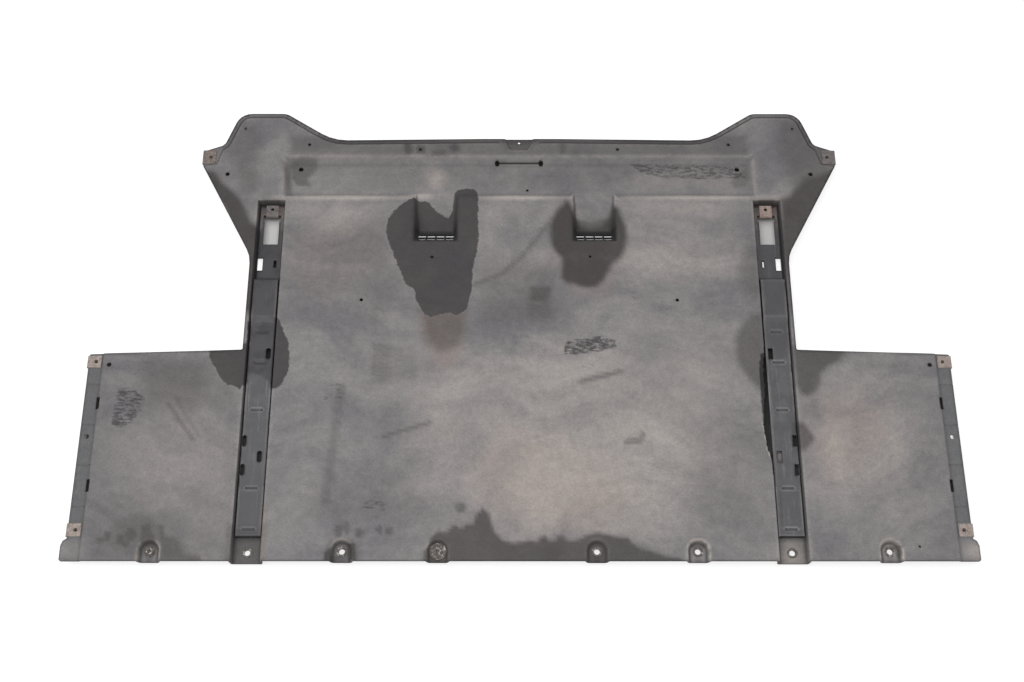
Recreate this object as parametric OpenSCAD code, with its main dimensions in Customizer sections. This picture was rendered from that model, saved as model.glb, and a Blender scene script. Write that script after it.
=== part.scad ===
// Engine splash shield: a moulded under-engine tray lying with its road side up.
// Plan places are measured in millimetres from the middle line (x) and from the front edge (y).
// Heights are measured from the face of the flat panel, so every pressing has a negative height.

/* [Sheet] */
// Thickness of the moulded sheet
sheet_t = 3; // [2.5:0.25:3.5]
// Length from the front edge to the top of the ears
total_l = 848; // [840:1:860]
// Half width across the wings
wing_half_w = 741; // [735:1:745]
// How far each front corner reaches beyond its wing
corner_flare_w = 9; // [5:1:14]
// Length of a wing at its outer side
wing_l = 364; // [358:1:372]
// How much farther back the wing's rear edge runs at the neck
wing_edge_rise = 8; // [0:1:12]
// Half width of the neck between the wings and the ears
neck_half_w = 478; // [477:1:484]
// Distance from the front edge to where the neck begins to widen
neck_top_y = 553; // [545:1:565]

/* [Ears and rear lip] */
// Distance from the front edge to the straight rear lip
lip_y = 791; // [786:1:796]
// Rise of the rear lip at the middle line
lip_bow = 4; // [0:1:6]
// Half length of the straight rear lip
lip_half_w = 342; // [330:1:350]
// Inner end of an ear's flat top
ear_in_x = 431; // [425:1:440]
// Outer end of an ear's flat top
ear_out_x = 516; // [508:1:522]
// Half width across the ear tips
ear_half_w = 577; // [572:1:582]
// Distance from the front edge to the fold side of an ear's fastener tab
ear_tab_y = 768; // [762:1:772]
// Distance from the front edge to an ear's pointed tip
ear_tip_y = 736; // [728:1:742]
// Width of the stepped rim round the ears and the lip
rim_w = 9; // [7:0.5:12]
// Drop of the rim below the panel
rim_drop = 2; // [1.5:0.25:2.5]
// Half width of the notch pressed into the middle of the lip
lip_notch_half_w = 25; // [20:1:30]
// Length of the lip notch from the lip towards the panel
lip_notch_l = 26; // [22:1:30]
// Diameter of the hole in the lip notch
lip_hole_d = 5; // [4:0.5:6]

/* [Rear trough] */
// Distance from the front edge to the trough's front shoulder
trough_front_y = 670; // [664:1:676]
// Distance from the front edge to the trough's rear shoulder
trough_rear_y = 757; // [752:1:760]
// Half width of the trough
trough_half_w = 428; // [422:1:434]
// Depth of the trough behind its front shoulder
trough_front_d = 8; // [6:0.5:10]
// Depth of the trough at its rear wall
trough_rear_d = 15; // [13:0.5:17]
// Run of the trough's front shoulder
trough_front_run = 11; // [9:1:13]
// Run of the trough's rear and end walls
trough_wall_run = 14; // [10:1:16]
// Half distance between the two round holes joined by a slit
slit_half_w = 40; // [36:1:46]
// Diameter of those two holes
slit_hole_d = 9; // [7:0.5:10]
// Width of the slit
slit_w = 2.5; // [2:0.25:3]
// Distance of each corner hole from the middle line
trough_hole_x = 400; // [394:1:404]
// Diameter of each corner hole
trough_hole_d = 9; // [7:0.5:11]

/* [Outlet scoops] */
// Middle of the left scoop
scoop_left_x = -150; // [-155:1:-145]
// Middle of the right scoop
scoop_right_x = 135; // [130:1:140]
// Width of a scoop at the panel
scoop_w = 78; // [74:1:84]
// Run of a scoop's side walls
scoop_side_run = 9; // [7:1:11]
// Distance from the front edge to the head of the louvred face
scoop_head_y = 581; // [576:1:586]
// Run of the louvred face from its head to the scoop's bottom
scoop_face_run = 31; // [29:1:33]
// Depth of the scoop's bottom
scoop_d = 30; // [28:1:32]
// Length of the flat at the scoop's bottom
scoop_foot_l = 8; // [6:1:10]
// Columns of louvre slots in a scoop
louvre_columns = 4; // [3:1:4]
// Rows of louvre slots in a scoop
louvre_rows = 2; // [1:1:2]
// Width of one louvre slot
louvre_w = 14; // [12:0.5:14.5]
// Length of one louvre slot in plan
louvre_l = 7; // [5:0.5:7]
// Bar left between two slots of a row
louvre_post = 2.5; // [2:0.25:3]
// Blade left between two rows, in plan
louvre_blade = 4; // [3:0.25:4.5]

/* [Rail channels] */
// Distance of each stiffening rail from the middle line
rail_x = 447; // [445:1:448]
// Depth of the channel that holds a rail
channel_d = 20; // [18:0.5:21]
// Gap between the rail and each channel wall
channel_gap = 2.5; // [2.25:0.25:3.25]
// Run of the channel's drafted walls
channel_run = 1.5; // [1:0.25:2]
// Distance from the front edge to the rear end of the rails
rail_rear_y = 662; // [659:1:664]
// Distance from the front edge to the front end of the rails
rail_front_y = 44; // [40:1:48]
// Greatest width of the gap where the right channel's inner wall has sagged
sag_w = 10; // [8:1:12]
// Front end of the sagged stretch
sag_front_y = 174; // [168:1:180]
// Rear end of the sagged stretch
sag_rear_y = 362; // [350:1:370]

/* [Rails] */
// Width of a rail
rail_w = 44; // [42:0.5:45]
// Thickness of a rail
rail_t = 2.5; // [2:0.25:3]
// Front end of the raised saddle
saddle_front_y = 436; // [430:1:442]
// Rear end of the saddle
saddle_rear_y = 507; // [500:1:512]
// Drop of the saddle's top below the panel
saddle_drop = 1; // [0.5:0.25:2]
// Drop of the rail in front of the saddle
rail_mid_drop = 5; // [4:0.5:7]
// Drop of the rail at its front end
rail_front_drop = 11.5; // [10:0.5:13]
// Width of the window in the rail's rear stretch
window_w = 27; // [25:0.5:28]
// Front end of the window
window_front_y = 584; // [580:1:588]
// Rear end of the window
window_rear_y = 643; // [640:1:646]
// Width of the window's head
window_head_w = 32; // [30:0.5:34]
// Length of the window's head
window_head_l = 13; // [10:1:15]
// Length of each oblong slot along the rail's sides
rail_slot_l = 20; // [17:1:22]
// Width of each oblong slot
rail_slot_w = 8; // [7:0.5:9]
// Depth of the pressed marks across the rail
clinch_d = 1; // [0.75:0.25:1.25]

/* [Front fixing pockets] */
// Distance of the outer pockets from the middle line
outer_bolt_x = 605; // [598:1:612]
// Distance of the inner pockets from the middle line
inner_bolt_x = 291; // [286:1:296]
// Middle pocket on the left
middle_left_x = -134; // [-138:1:-128]
// Middle pocket on the right
middle_right_x = 126; // [122:1:132]
// Distance from the front edge to the fixing holes
bolt_y = 18; // [17:0.5:20]
// Width of a pocket
pocket_w = 36; // [35:0.5:40]
// Depth of a pocket
pocket_d = 12; // [10:0.5:13]
// Run of a pocket's side walls
pocket_run = 3; // [2:0.5:4]

/* [Sleeves, washer and screws] */
// Bore of a sleeve
sleeve_bore_d = 9.8; // [9:0.1:10]
// Outer diameter of a sleeve's tube
sleeve_tube_d = 12.4; // [12:0.1:13]
// Outer diameter of a sleeve's flange
sleeve_flange_d = 17; // [16:0.5:18]
// Thickness of a sleeve's flange
sleeve_flange_t = 1.2; // [1:0.1:1.5]
// Clearance between a sleeve and its hole, on the diameter
sleeve_clear = 0.2; // [0.1:0.1:0.4]
// Outer diameter of the large washer
washer_d = 28; // [26:0.5:29]
// Thickness of the large washer
washer_t = 1.5; // [1:0.25:2]
// Diameter of a left screw's shank
screw_d = 8; // [7:0.5:8.5]
// Diameter of its head
screw_head_d = 15; // [14:0.5:16]
// Height of its head
screw_head_h = 4; // [3:0.5:5]
// Length of its shank below the head
screw_l = 11; // [9:0.5:12]
// Diameter of the socket in its head
screw_socket_d = 6; // [5:0.5:7]

/* [Wing edges] */
// Width of the stepped strip along a wing's outer side
strip_w = 26; // [24:1:28]
// Drop of that strip below the panel
strip_drop = 2.5; // [2:0.25:3]
// Diameter of the strip's round hole
strip_hole_d = 8; // [7:0.5:9]
// Length of the strip's slots
strip_slot_l = 22; // [18:1:24]
// Width of the strip's slots
strip_slot_w = 6; // [5:0.5:7]

/* [Clip nuts] */
// Width of a clip nut
clip_w = 22; // [20:0.5:24]
// Width of the clip nuts on the ears
ear_clip_w = 28; // [26:0.5:30]
// Length of a clip nut's leaves from the edge it grips
clip_l = 22; // [20:0.5:23]
// Thickness of its sheet
clip_t = 1.2; // [1:0.1:1.5]
// Distance from the gripped edge to the screw hole
clip_hole_in = 13; // [11:0.5:14]
// Distance from the window to the screw hole of the clip nut on a rail
rail_clip_hole_in = 11; // [10:0.5:12]
// Diameter of the screw hole
clip_hole_d = 6.4; // [6:0.2:7]
// Outer diameter of the nut's collar
collar_d = 10; // [9:0.5:11]
// Height of the collar
collar_h = 4; // [3:0.5:4.5]
// Bore of the collar
collar_bore_d = 5; // [4.5:0.25:5.5]

/* [Hidden] */
$fn = 48;
over = 4;
arc_step = 15;

// Heights and places that follow from the sizes above
face_z = scoop_d + sheet_t;
corner_half_w = wing_half_w + corner_flare_w;
channel_half_w = rail_w / 2 + channel_gap;
rail_floor_top = -(channel_d - rail_t);
scoop_bottom_y = scoop_head_y + scoop_face_run;
louvre_pitch_x = louvre_w + louvre_post;
louvre_pitch_y = louvre_l + louvre_blade;
strip_x = wing_half_w - strip_w;
bolt_hole_d = sleeve_tube_d + sleeve_clear;
rail_hole_y = window_rear_y + rail_clip_hole_in;
rail_clip_l = rail_rear_y - window_rear_y;
rail_clip_gap = sheet_t + rail_t;
scoop_xs = [scoop_left_x, scoop_right_x];
pocket_xs = [-outer_bolt_x, -inner_bolt_x, middle_left_x, middle_right_x, inner_bolt_x, outer_bolt_x];
bolts = [
    [-outer_bolt_x, pocket_d], [-rail_x, channel_d], [-inner_bolt_x, pocket_d], [middle_left_x, pocket_d],
    [middle_right_x, pocket_d], [inner_bolt_x, pocket_d], [rail_x, channel_d], [outer_bolt_x, pocket_d]
];
// Round holes of the flat panel as x, y and diameter, those on both sides once
pair_holes = [
    [385, lip_y - 10, 6], [181, lip_y - 20, 6], [ear_half_w - 46, ear_tip_y - 17, 8],
    [ear_out_x - 11, total_l - 33, 5], [277, 467, 6], [wing_half_w - 36, wing_l - 20, 8]
];
single_holes = [[15, 690, 5], [-155, 551, 5], [126, 552, 5], [652, 24, 4]];
// Creases and cut-outs of the wing strips, as distances from the front edge
crease_ys = [92, 164, 235, 308];
strip_slot_ys = [128, 274];
strip_hole_y = 214;
ear_clip_y = (ear_tab_y + ear_tip_y) / 2 + 3;
wing_rear_clip_y = 350;
wing_front_clip_y = 52;
// Slots cut in a rail only, as x from its middle (positive is outward) and y
rail_slots = [[18, 158], [18, 209], [-10, 181], [-13, 367]];
// Slots cut through rail and tray, as the same x and y, width and length
rear_slots = [[16, 545, 10, 26], [-11, 545, 4, 14]];
clinch_ys = [56, 126, 264, 351, 408];

// Path tools. A corner is [x, y, radius], and a radius of 0 stays sharp.
function unit(v) = v / norm(v);
function flat(p) = [p[0], p[1]];
function turn(a) = a > 180 ? a - 360 : a < -180 ? a + 360 : a;
function arc(c, r, a, sweep) =
    let (n = max(1, ceil(abs(sweep) / arc_step)))
    [for (i = [0 : n]) c + r * [cos(a + sweep * i / n), sin(a + sweep * i / n)]];
function corner(before, at, after) =
    let (p = flat(at), u = unit(flat(before) - p), v = unit(flat(after) - p), half = acos(u * v) / 2)
    at[2] == 0 || half > 89.9 ? [p] :
    let (r = at[2], c = p + unit(u + v) * r / sin(half),
         s = p + u * r / tan(half) - c, e = p + v * r / tan(half) - c,
         a = atan2(s[1], s[0]), b = atan2(e[1], e[0]))
    arc(c, r, a, turn(b - a));
function loop_points(cs) =
    [for (i = [0 : len(cs) - 1])
        each corner(cs[(i + len(cs) - 1) % len(cs)], cs[i], cs[(i + 1) % len(cs)])];
function path_points(cs) = [for (i = [1 : len(cs) - 2]) each corner(cs[i - 1], cs[i], cs[i + 1])];

// A surface line moved down square to itself: floors gain radius and shoulders lose it.
function below(v) = [v[1], -v[0]];
function lowered_corner(a, b, c, t) =
    let (m = below(unit(flat(b) - flat(a))), n = below(unit(flat(c) - flat(b))),
         bend = (flat(b) - flat(a))[0] * (flat(c) - flat(b))[1]
             - (flat(b) - flat(a))[1] * (flat(c) - flat(b))[0],
         p = flat(b) + (m + n) * t / (1 + m * n))
    [p[0], p[1], bend > 0 ? b[2] + t : max(b[2] - t, 0)];
function lowered(cs, t) =
    [for (i = [0 : len(cs) - 1])
        i == 0 ? concat(flat(cs[0]) + below(unit(flat(cs[1]) - flat(cs[0]))) * t, [0]) :
        i == len(cs) - 1 ? concat(flat(cs[i]) + below(unit(flat(cs[i]) - flat(cs[i - 1]))) * t, [0]) :
        lowered_corner(cs[i - 1], cs[i], cs[i + 1], t)];
// Everything above a surface line, up to the height top
function above_line(cs, top) =
    let (p = path_points(cs))
    concat([[p[0][0], top]], p, [[p[len(p) - 1][0], top]]);

// Surface lines of the pressings, from left to right
function dish(a, b, d, run, shoulder, floor_r) = [
    [a - 50, 0, 0], [a, 0, shoulder], [a + run, -d, floor_r],
    [b - run, -d, floor_r], [b, 0, shoulder], [b + 50, 0, 0]
];
trough_line = [
    [trough_front_y - 50, 0, 0], [trough_front_y, 0, 10],
    [trough_front_y + trough_front_run, -trough_front_d, 6],
    [trough_rear_y - trough_wall_run, -trough_rear_d, 6],
    [trough_rear_y, 0, 6], [trough_rear_y + 50, 0, 0]
];
scoop_line = [
    [scoop_head_y - 50, 0, 0], [scoop_head_y, 0, 2],
    [scoop_bottom_y, -scoop_d, 2], [scoop_bottom_y + scoop_foot_l, -scoop_d, 3],
    [trough_front_y + trough_front_run, -trough_front_d, 20],
    [trough_front_y + 3 * trough_front_run, -trough_front_d - 1.5, 0],
    [trough_front_y + 3.2 * trough_front_run, -trough_front_d - 1.5, 0]
];

// Solids along the two plan directions from an outline of [place, height]
module along_x(points, x0, x1)
    translate([x0, 0, 0]) rotate([90, 0, 90]) linear_extrude(height = x1 - x0) polygon(points);
module along_y(points, y0, y1)
    translate([0, y1, 0]) rotate([90, 0, 0]) linear_extrude(height = y1 - y0) polygon(points);

// The plan outline
right_corners = [
    [0, lip_y + lip_bow, 6000],
    [lip_half_w, lip_y, 90],
    [ear_in_x, total_l, 25],
    [ear_out_x, total_l, 30],
    [ear_half_w - 36, ear_tab_y + 13, 14],
    [ear_half_w, ear_tab_y, 2],
    [ear_half_w, ear_tip_y, 3],
    [neck_half_w, neck_top_y, 60],
    [neck_half_w, wing_l + wing_edge_rise, 3],
    [wing_half_w, wing_l, 3],
    [wing_half_w, wing_front_clip_y - clip_w / 2 - 3, 1],
    [corner_half_w - 3, wing_front_clip_y - clip_w / 2 - 7, 1],
    [corner_half_w, wing_front_clip_y - clip_w / 2 - 15, 2],
    [corner_half_w, 0, 4]
];
left_corners = [for (i = [len(right_corners) - 1 : -1 : 1])
    [-right_corners[i][0], right_corners[i][1], right_corners[i][2]]];
outline_points = loop_points(concat(right_corners, left_corners));

module outline() polygon(outline_points);
module prism(z0, z1) translate([0, 0, z0]) linear_extrude(height = z1 - z0) children();

module rim_plan(width) {
    intersection() {
        difference() {
            outline();
            offset(delta = -width) outline();
        }
        translate([-ear_half_w + 34, lip_y - rim_w - 12]) square([2 * ear_half_w - 68, 100]);
    }
    intersection() {
        outline();
        offset(delta = width - rim_w) at_both_sides() ear_tab_plan();
    }
}

// An ear's fastener tab, which lies as low as the rim
module ear_tab_plan()
    polygon([
        [ear_half_w - 36, ear_tab_y + 80],
        [ear_half_w - 34, ear_tab_y + 2],
        [ear_half_w - 25, ear_tip_y + 4],
        [ear_half_w + over, ear_tip_y],
        [ear_half_w + over, ear_tab_y + 80]
    ]);

module lip_notch_plan(grow)
    polygon(loop_points([
        [-lip_notch_half_w - grow - 4, lip_y + 30, 0],
        [-lip_notch_half_w - grow, lip_y - 3, 6],
        [-lip_notch_half_w + 9 - grow, lip_y + lip_bow - lip_notch_l - grow, 5],
        [lip_notch_half_w - 9 + grow, lip_y + lip_bow - lip_notch_l - grow, 5],
        [lip_notch_half_w + grow, lip_y - 3, 6],
        [lip_notch_half_w + grow + 4, lip_y + 30, 0]
    ]));

// A round-ended or square-ended slot in plan, along y
module slot_plan(w, l, r) polygon(loop_points([
    [-w / 2, -l / 2, r], [w / 2, -l / 2, r], [w / 2, l / 2, r], [-w / 2, l / 2, r]]));

// Open space above a pressing, or the filled form of its underside
module pressing_x(line, t, x0, x1)
    along_x(above_line(lowered(line, t), t == 0 ? over : -sheet_t / 2), x0, x1);
module pressing_y(line, t, y0, y1)
    along_y(above_line(lowered(line, t), t == 0 ? over : -sheet_t / 2), y0, y1);

module trough(t) intersection() {
    pressing_x(trough_line, t, -trough_half_w - over, trough_half_w + over);
    pressing_y(dish(-trough_half_w, trough_half_w, trough_rear_d + over, trough_wall_run, 8, 6), t,
        trough_front_y - 20, trough_rear_y + 20);
}

module scoop(x, t) intersection() {
    pressing_x(scoop_line, t, x - scoop_w, x + scoop_w);
    pressing_y(dish(x - scoop_w / 2, x + scoop_w / 2, scoop_d + over, scoop_side_run, 9, 4), t,
        scoop_head_y - 20, trough_front_y + 3 * trough_front_run + 2);
}

module louvres(x) {
    span_x = louvre_columns * louvre_w + (louvre_columns - 1) * louvre_post;
    span_y = louvre_rows * louvre_l + (louvre_rows - 1) * louvre_blade;
    y0 = scoop_head_y + (scoop_face_run - span_y) / 2;
    for (i = [0 : louvre_columns - 1], j = [0 : louvre_rows - 1])
        translate([x - span_x / 2 + i * louvre_pitch_x, y0 + j * louvre_pitch_y, -face_z - over])
            cube([louvre_w, louvre_l, face_z + 2 * over]);
}

module rail_channel(side, t) intersection() {
    pressing_y(dish(side * rail_x - channel_half_w, side * rail_x + channel_half_w,
        channel_d, channel_run, 2, 1), t, t == 0 ? -over : 0, rail_rear_y + 3 + 3 * over);
    pressing_x(dish(-100, rail_rear_y + 3, channel_d, channel_run, 2, 1), t,
        side * rail_x - rail_w, side * rail_x + rail_w);
}

// The stretch where the right channel's inner wall has sagged away from the rail
module sag_plan(grow) {
    x = rail_x - channel_half_w;
    polygon([
        [x + 6, sag_front_y - 4 - grow], [x - 1, sag_front_y - grow],
        [x - 0.7 * sag_w - grow, sag_front_y + 22], [x - 0.8 * sag_w - grow, sag_front_y + 36],
        [x - sag_w - grow, sag_front_y + 52], [x - 0.9 * sag_w - grow, sag_front_y + 66],
        [x - 0.6 * sag_w - grow, sag_front_y + 98], [x - 0.35 * sag_w - grow, sag_front_y + 140],
        [x - 0.3 * sag_w - grow, sag_rear_y - 6], [x + 1, sag_rear_y + grow], [x + 6, sag_rear_y + grow]
    ]);
}

module pocket_plan(r, y0) polygon(concat([[-r, y0]], arc([0, bolt_y], r, 180, -180), [[r, y0]]));
module pocket(x, t) intersection() {
    pressing_y(dish(x - pocket_w / 2, x + pocket_w / 2, pocket_d, pocket_run, 3, 2), t,
        t == 0 ? -over : 0, bolt_y + pocket_w);
    translate([x, 0, 0])
        prism(-pocket_d - sheet_t - 1, over) pocket_plan(pocket_w / 2 + t, t == 0 ? -over : 0);
}

module wing_strip(side, t) {
    line = [[strip_x - 50, 0, 0], [strip_x, 0, 3], [strip_x + 3, -strip_drop, 2],
            [strip_x + 20, -strip_drop, 0], [corner_half_w + 2 * over, -strip_drop, 0]];
    mirror([side < 0 ? 1 : 0, 0, 0])
        along_y(above_line(concat(lowered(line, t), [[corner_half_w + 3 * over, -strip_drop - t, 0]]),
            t == 0 ? over : -sheet_t / 2), t == 0 ? -over : 0,
            wing_l + wing_edge_rise + (t == 0 ? over : 0));
}

module at_both_sides() for (side = [-1, 1]) mirror([side < 0 ? 1 : 0, 0, 0]) children();
module bore(p, d) translate([p[0], p[1], -face_z - over]) cylinder(d = d, h = face_z + 2 * over);

module window_plan(grow) {
    translate([-window_w / 2 - grow, window_front_y - grow])
        square([window_w + 2 * grow, window_rear_y - window_front_y + 2 * grow]);
    translate([-window_head_w / 2 - grow, window_rear_y - window_head_l - grow])
        square([window_head_w + 2 * grow, window_head_l + 2 * grow]);
}

module tray_solid() {
    prism(-sheet_t, 0) outline();
    prism(-rim_drop - sheet_t, -sheet_t / 2) rim_plan(rim_w + sheet_t);
    intersection() {
        prism(-rim_drop - 2 * sheet_t - 2, -sheet_t / 2) outline();
        prism(-rim_drop - sheet_t - 2.5, over) lip_notch_plan(sheet_t);
    }
    trough(sheet_t);
    for (x = scoop_xs) scoop(x, sheet_t);
    for (side = [-1, 1]) rail_channel(side, sheet_t);
    prism(-channel_d - sheet_t, -sheet_t / 2) sag_plan(sheet_t);
    for (x = pocket_xs) pocket(x, sheet_t);
    intersection() {
        prism(-2 * sheet_t - strip_drop, 0) outline();
        union() for (side = [-1, 1]) wing_strip(side, sheet_t);
    }
}

module tray_space() {
    prism(-rim_drop, over) rim_plan(rim_w);
    prism(-rim_drop - 2.5, over) lip_notch_plan(0);
    trough(0);
    for (x = scoop_xs) {
        scoop(x, 0);
        louvres(x);
    }
    for (side = [-1, 1]) {
        rail_channel(side, 0);
        wing_strip(side, 0);
    }
    prism(-channel_d, over) sag_plan(0);
    for (x = pocket_xs) pocket(x, 0);
}

module tray_holes() {
    bore([0, lip_y + lip_bow - 8], lip_hole_d);
    for (p = single_holes) bore(p, p[2]);
    for (b = bolts) bore([b[0], bolt_y], bolt_hole_d);
    slit_y = trough_rear_y - trough_wall_run + 4.5;
    translate([-slit_half_w, slit_y - slit_w / 2, -face_z]) cube([2 * slit_half_w, slit_w, face_z + over]);
    at_both_sides() {
        for (p = pair_holes) bore(p, p[2]);
        bore([slit_half_w, slit_y], slit_hole_d);
        bore([trough_hole_x, trough_rear_y - trough_wall_run - 6.5], trough_hole_d);
        bore([strip_x + 14, strip_hole_y], strip_hole_d);
        bore([rail_x, rail_hole_y], clip_hole_d);
        bore([strip_x + strip_w - clip_hole_in, wing_rear_clip_y], clip_hole_d);
        bore([strip_x + strip_w - clip_hole_in, wing_front_clip_y], clip_hole_d);
        bore([ear_half_w - clip_hole_in, ear_clip_y], clip_hole_d);
        translate([rail_x, 0, 0]) prism(-face_z, over) window_plan(1);
        for (s = rear_slots)
            translate([rail_x + s[0], s[1], 0]) prism(-face_z, over) slot_plan(s[2], s[3], 1);
        for (y = strip_slot_ys)
            translate([strip_x + 2, y, 0]) prism(-face_z, over) slot_plan(strip_slot_w, strip_slot_l, 1);
        for (y = crease_ys)
            translate([strip_x + 4, y - 1.5, -strip_drop - 0.8]) cube([strip_w + over, 3, 2]);
    }
}

module tray() color("#7b7976") translate([0, -total_l / 2, face_z]) difference() {
    tray_solid();
    tray_space();
    tray_holes();
}

// Surface line of a rail along its length
rail_line = [
    [rail_front_y, -channel_d, 0], [rail_front_y + 3, -rail_front_drop, 2],
    [saddle_front_y - 10, -rail_mid_drop, 6], [saddle_front_y, -saddle_drop, 4],
    [saddle_rear_y, -saddle_drop, 5], [saddle_rear_y + 8, rail_floor_top, 4],
    [rail_rear_y, rail_floor_top, 0]
];
rail_under_line = concat(
    [for (i = [0 : len(rail_line) - 3]) lowered(rail_line, rail_t)[i]],
    [[saddle_rear_y + 7, -channel_d - 3, 0]]
);

module rail(side, slot_r) color("#5c5f63") translate([side * rail_x, -total_l / 2, face_z]) difference() {
    along_x(concat([[rail_front_y, -channel_d]], path_points(rail_line),
        [[rail_rear_y, rail_floor_top], [rail_rear_y, -channel_d]]), -rail_w / 2, rail_w / 2);
    along_x(concat([[rail_front_y + rail_t + 2, -channel_d - 3]], path_points(rail_under_line),
        [[saddle_rear_y + 6, -channel_d - 3]]), -rail_w / 2 + rail_t, rail_w / 2 - rail_t);
    prism(-face_z, over) window_plan(0);
    bore([0, rail_hole_y], clip_hole_d);
    for (s = rear_slots) translate([side * s[0], s[1], 0]) prism(-face_z, over) slot_plan(s[2], s[3], 1);
    for (s = rail_slots) translate([side * s[0], s[1], 0])
        prism(-channel_d + rail_t, over) slot_plan(rail_slot_w, rail_slot_l, slot_r);
    for (y = clinch_ys) {
        z = -rail_front_drop + (rail_front_drop - rail_mid_drop) * (y - rail_front_y - 3)
            / (saddle_front_y - 13 - rail_front_y);
        translate([-10, y - 2, z - clinch_d]) cube([20, 4, over]);
    }
}

module rail_left() rail(-1, rail_slot_w / 2 - 0.01);
module rail_right() rail(1, 1);

// A flanged steel sleeve, its flange on the pocket's floor
module sleeve(i) color("#8c8b88")
    translate([bolts[i][0], bolt_y - total_l / 2, face_z - bolts[i][1]]) difference() {
        union() {
            cylinder(d = sleeve_flange_d, h = sleeve_flange_t);
            translate([0, 0, -sheet_t]) cylinder(d = sleeve_tube_d, h = sheet_t + sleeve_flange_t / 2);
        }
        translate([0, 0, -sheet_t - 1]) cylinder(d = sleeve_bore_d, h = sheet_t + over);
    }

module washer_4() color("#77726c")
    translate([bolts[3][0], bolt_y - total_l / 2, face_z - bolts[3][1] + sleeve_flange_t]) difference() {
        cylinder(d = washer_d, h = washer_t);
        translate([0, 0, -1]) cylinder(d = screw_d + 0.4, h = washer_t + 2);
    }

// A left screw, its head bearing at the height seat above the pocket's floor
module screw(i, seat) color("#6a6662")
    translate([bolts[i][0], bolt_y - total_l / 2, face_z - bolts[i][1] + seat]) difference() {
        union() {
            cylinder(d = screw_head_d, h = screw_head_h / 2);
            cylinder(d = screw_head_d - 4, h = screw_head_h);
            translate([0, 0, -screw_l]) cylinder(d = screw_d, h = screw_l + 1);
        }
        translate([0, 0, 1]) cylinder(d = screw_socket_d, h = screw_head_h);
    }

// A folded sheet-steel nut: two leaves, the fold at the gripped edge and a collar under the lower leaf.
// The gripped edge is at x = 0, the leaves run towards -x and the gripped sheet's top face is z = 0.
function fold_outline(grip, l) =
    let (c = [0, -grip / 2], r = grip / 2)
    concat(arc(c, r + clip_t, 90, -180), [[-l, -grip - clip_t], [-l, -grip]],
        arc(c, r, -90, 180),
        [[-l + 1, 0], [-l, 0.6], [-l, 0.6 + clip_t], [-l + 2, clip_t]]);
module clip(grip, l, w, hole_in) color("#8a7670") difference() {
    union() {
        along_y(fold_outline(grip, l), -w / 2, w / 2);
        translate([-hole_in, 0, -grip - clip_t - collar_h])
            cylinder(d = collar_d, h = collar_h + clip_t / 2);
    }
    translate([-hole_in, 0, -clip_t / 2]) cylinder(d = clip_hole_d, h = 3 * clip_t);
    translate([-hole_in, 0, -grip - clip_t - collar_h - 1])
        cylinder(d = collar_bore_d, h = collar_h + 2 * clip_t + 1);
}

module edge_clip(side, x, y, drop, w) mirror([side < 0 ? 1 : 0, 0, 0])
    translate([x, y - total_l / 2, face_z - drop]) clip(sheet_t, clip_l, w, clip_hole_in);
module ear_clip(side) edge_clip(side, ear_half_w, ear_clip_y, rim_drop, ear_clip_w);
module wing_rear_clip(side) edge_clip(side, wing_half_w, wing_rear_clip_y, strip_drop, clip_w);
module wing_front_clip(side) edge_clip(side, wing_half_w, wing_front_clip_y, strip_drop, clip_w);
module rail_clip(side)
    translate([side * rail_x, window_rear_y - total_l / 2, face_z + rail_floor_top])
        rotate([0, 0, -90]) clip(rail_clip_gap, rail_clip_l, clip_w, rail_clip_hole_in);

tray();
rail_left();
rail_right();
sleeve(0);  // sleeve_1
sleeve(1);  // sleeve_2
sleeve(2);  // sleeve_3
sleeve(3);  // sleeve_4
sleeve(4);  // sleeve_5
sleeve(5);  // sleeve_6
sleeve(6);  // sleeve_7
sleeve(7);  // sleeve_8
washer_4();
screw(0, sleeve_flange_t);  // screw_1
screw(3, sleeve_flange_t + washer_t);  // screw_4
ear_clip(-1);  // clip_ear_left
ear_clip(1);  // clip_ear_right
rail_clip(-1);  // clip_rail_left
rail_clip(1);  // clip_rail_right
wing_rear_clip(-1);  // clip_wing_rear_left
wing_rear_clip(1);  // clip_wing_rear_right
wing_front_clip(-1);  // clip_wing_front_left
wing_front_clip(1);  // clip_wing_front_right
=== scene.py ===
"""Looks of a moulded engine splash shield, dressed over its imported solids.

Plan places are in millimetres: x from the middle line, y from the front edge and z from the face of the
flat panel. The function to_frame turns them into the frame's metres.
"""

import logging
import math
from dataclasses import dataclass
from enum import Enum
from typing import Callable

import bpy
import numpy as np
from mathutils import Matrix, Vector
from mathutils.geometry import delaunay_2d_cdt


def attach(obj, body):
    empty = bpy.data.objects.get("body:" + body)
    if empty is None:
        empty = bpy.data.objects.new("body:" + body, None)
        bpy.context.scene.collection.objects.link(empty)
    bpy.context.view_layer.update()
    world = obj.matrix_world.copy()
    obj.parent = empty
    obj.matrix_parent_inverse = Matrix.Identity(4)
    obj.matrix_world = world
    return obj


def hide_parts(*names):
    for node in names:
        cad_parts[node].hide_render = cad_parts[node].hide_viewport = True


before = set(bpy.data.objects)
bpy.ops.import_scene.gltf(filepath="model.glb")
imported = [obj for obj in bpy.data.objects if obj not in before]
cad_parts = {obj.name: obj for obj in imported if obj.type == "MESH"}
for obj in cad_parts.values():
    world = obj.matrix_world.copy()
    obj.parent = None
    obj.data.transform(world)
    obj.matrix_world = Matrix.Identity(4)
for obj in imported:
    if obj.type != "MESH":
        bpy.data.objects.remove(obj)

Array = np.ndarray
# What a node's input takes: another node's output, an sRGB hex colour or plain numbers.
Input = bpy.types.NodeSocket | str | float | tuple
log = logging.getLogger("splash_shield")

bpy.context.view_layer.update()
BODY = "root"
STRAIGHT = 1.569  # Half an angle in radians: a corner more open than this isn't rounded.

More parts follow.
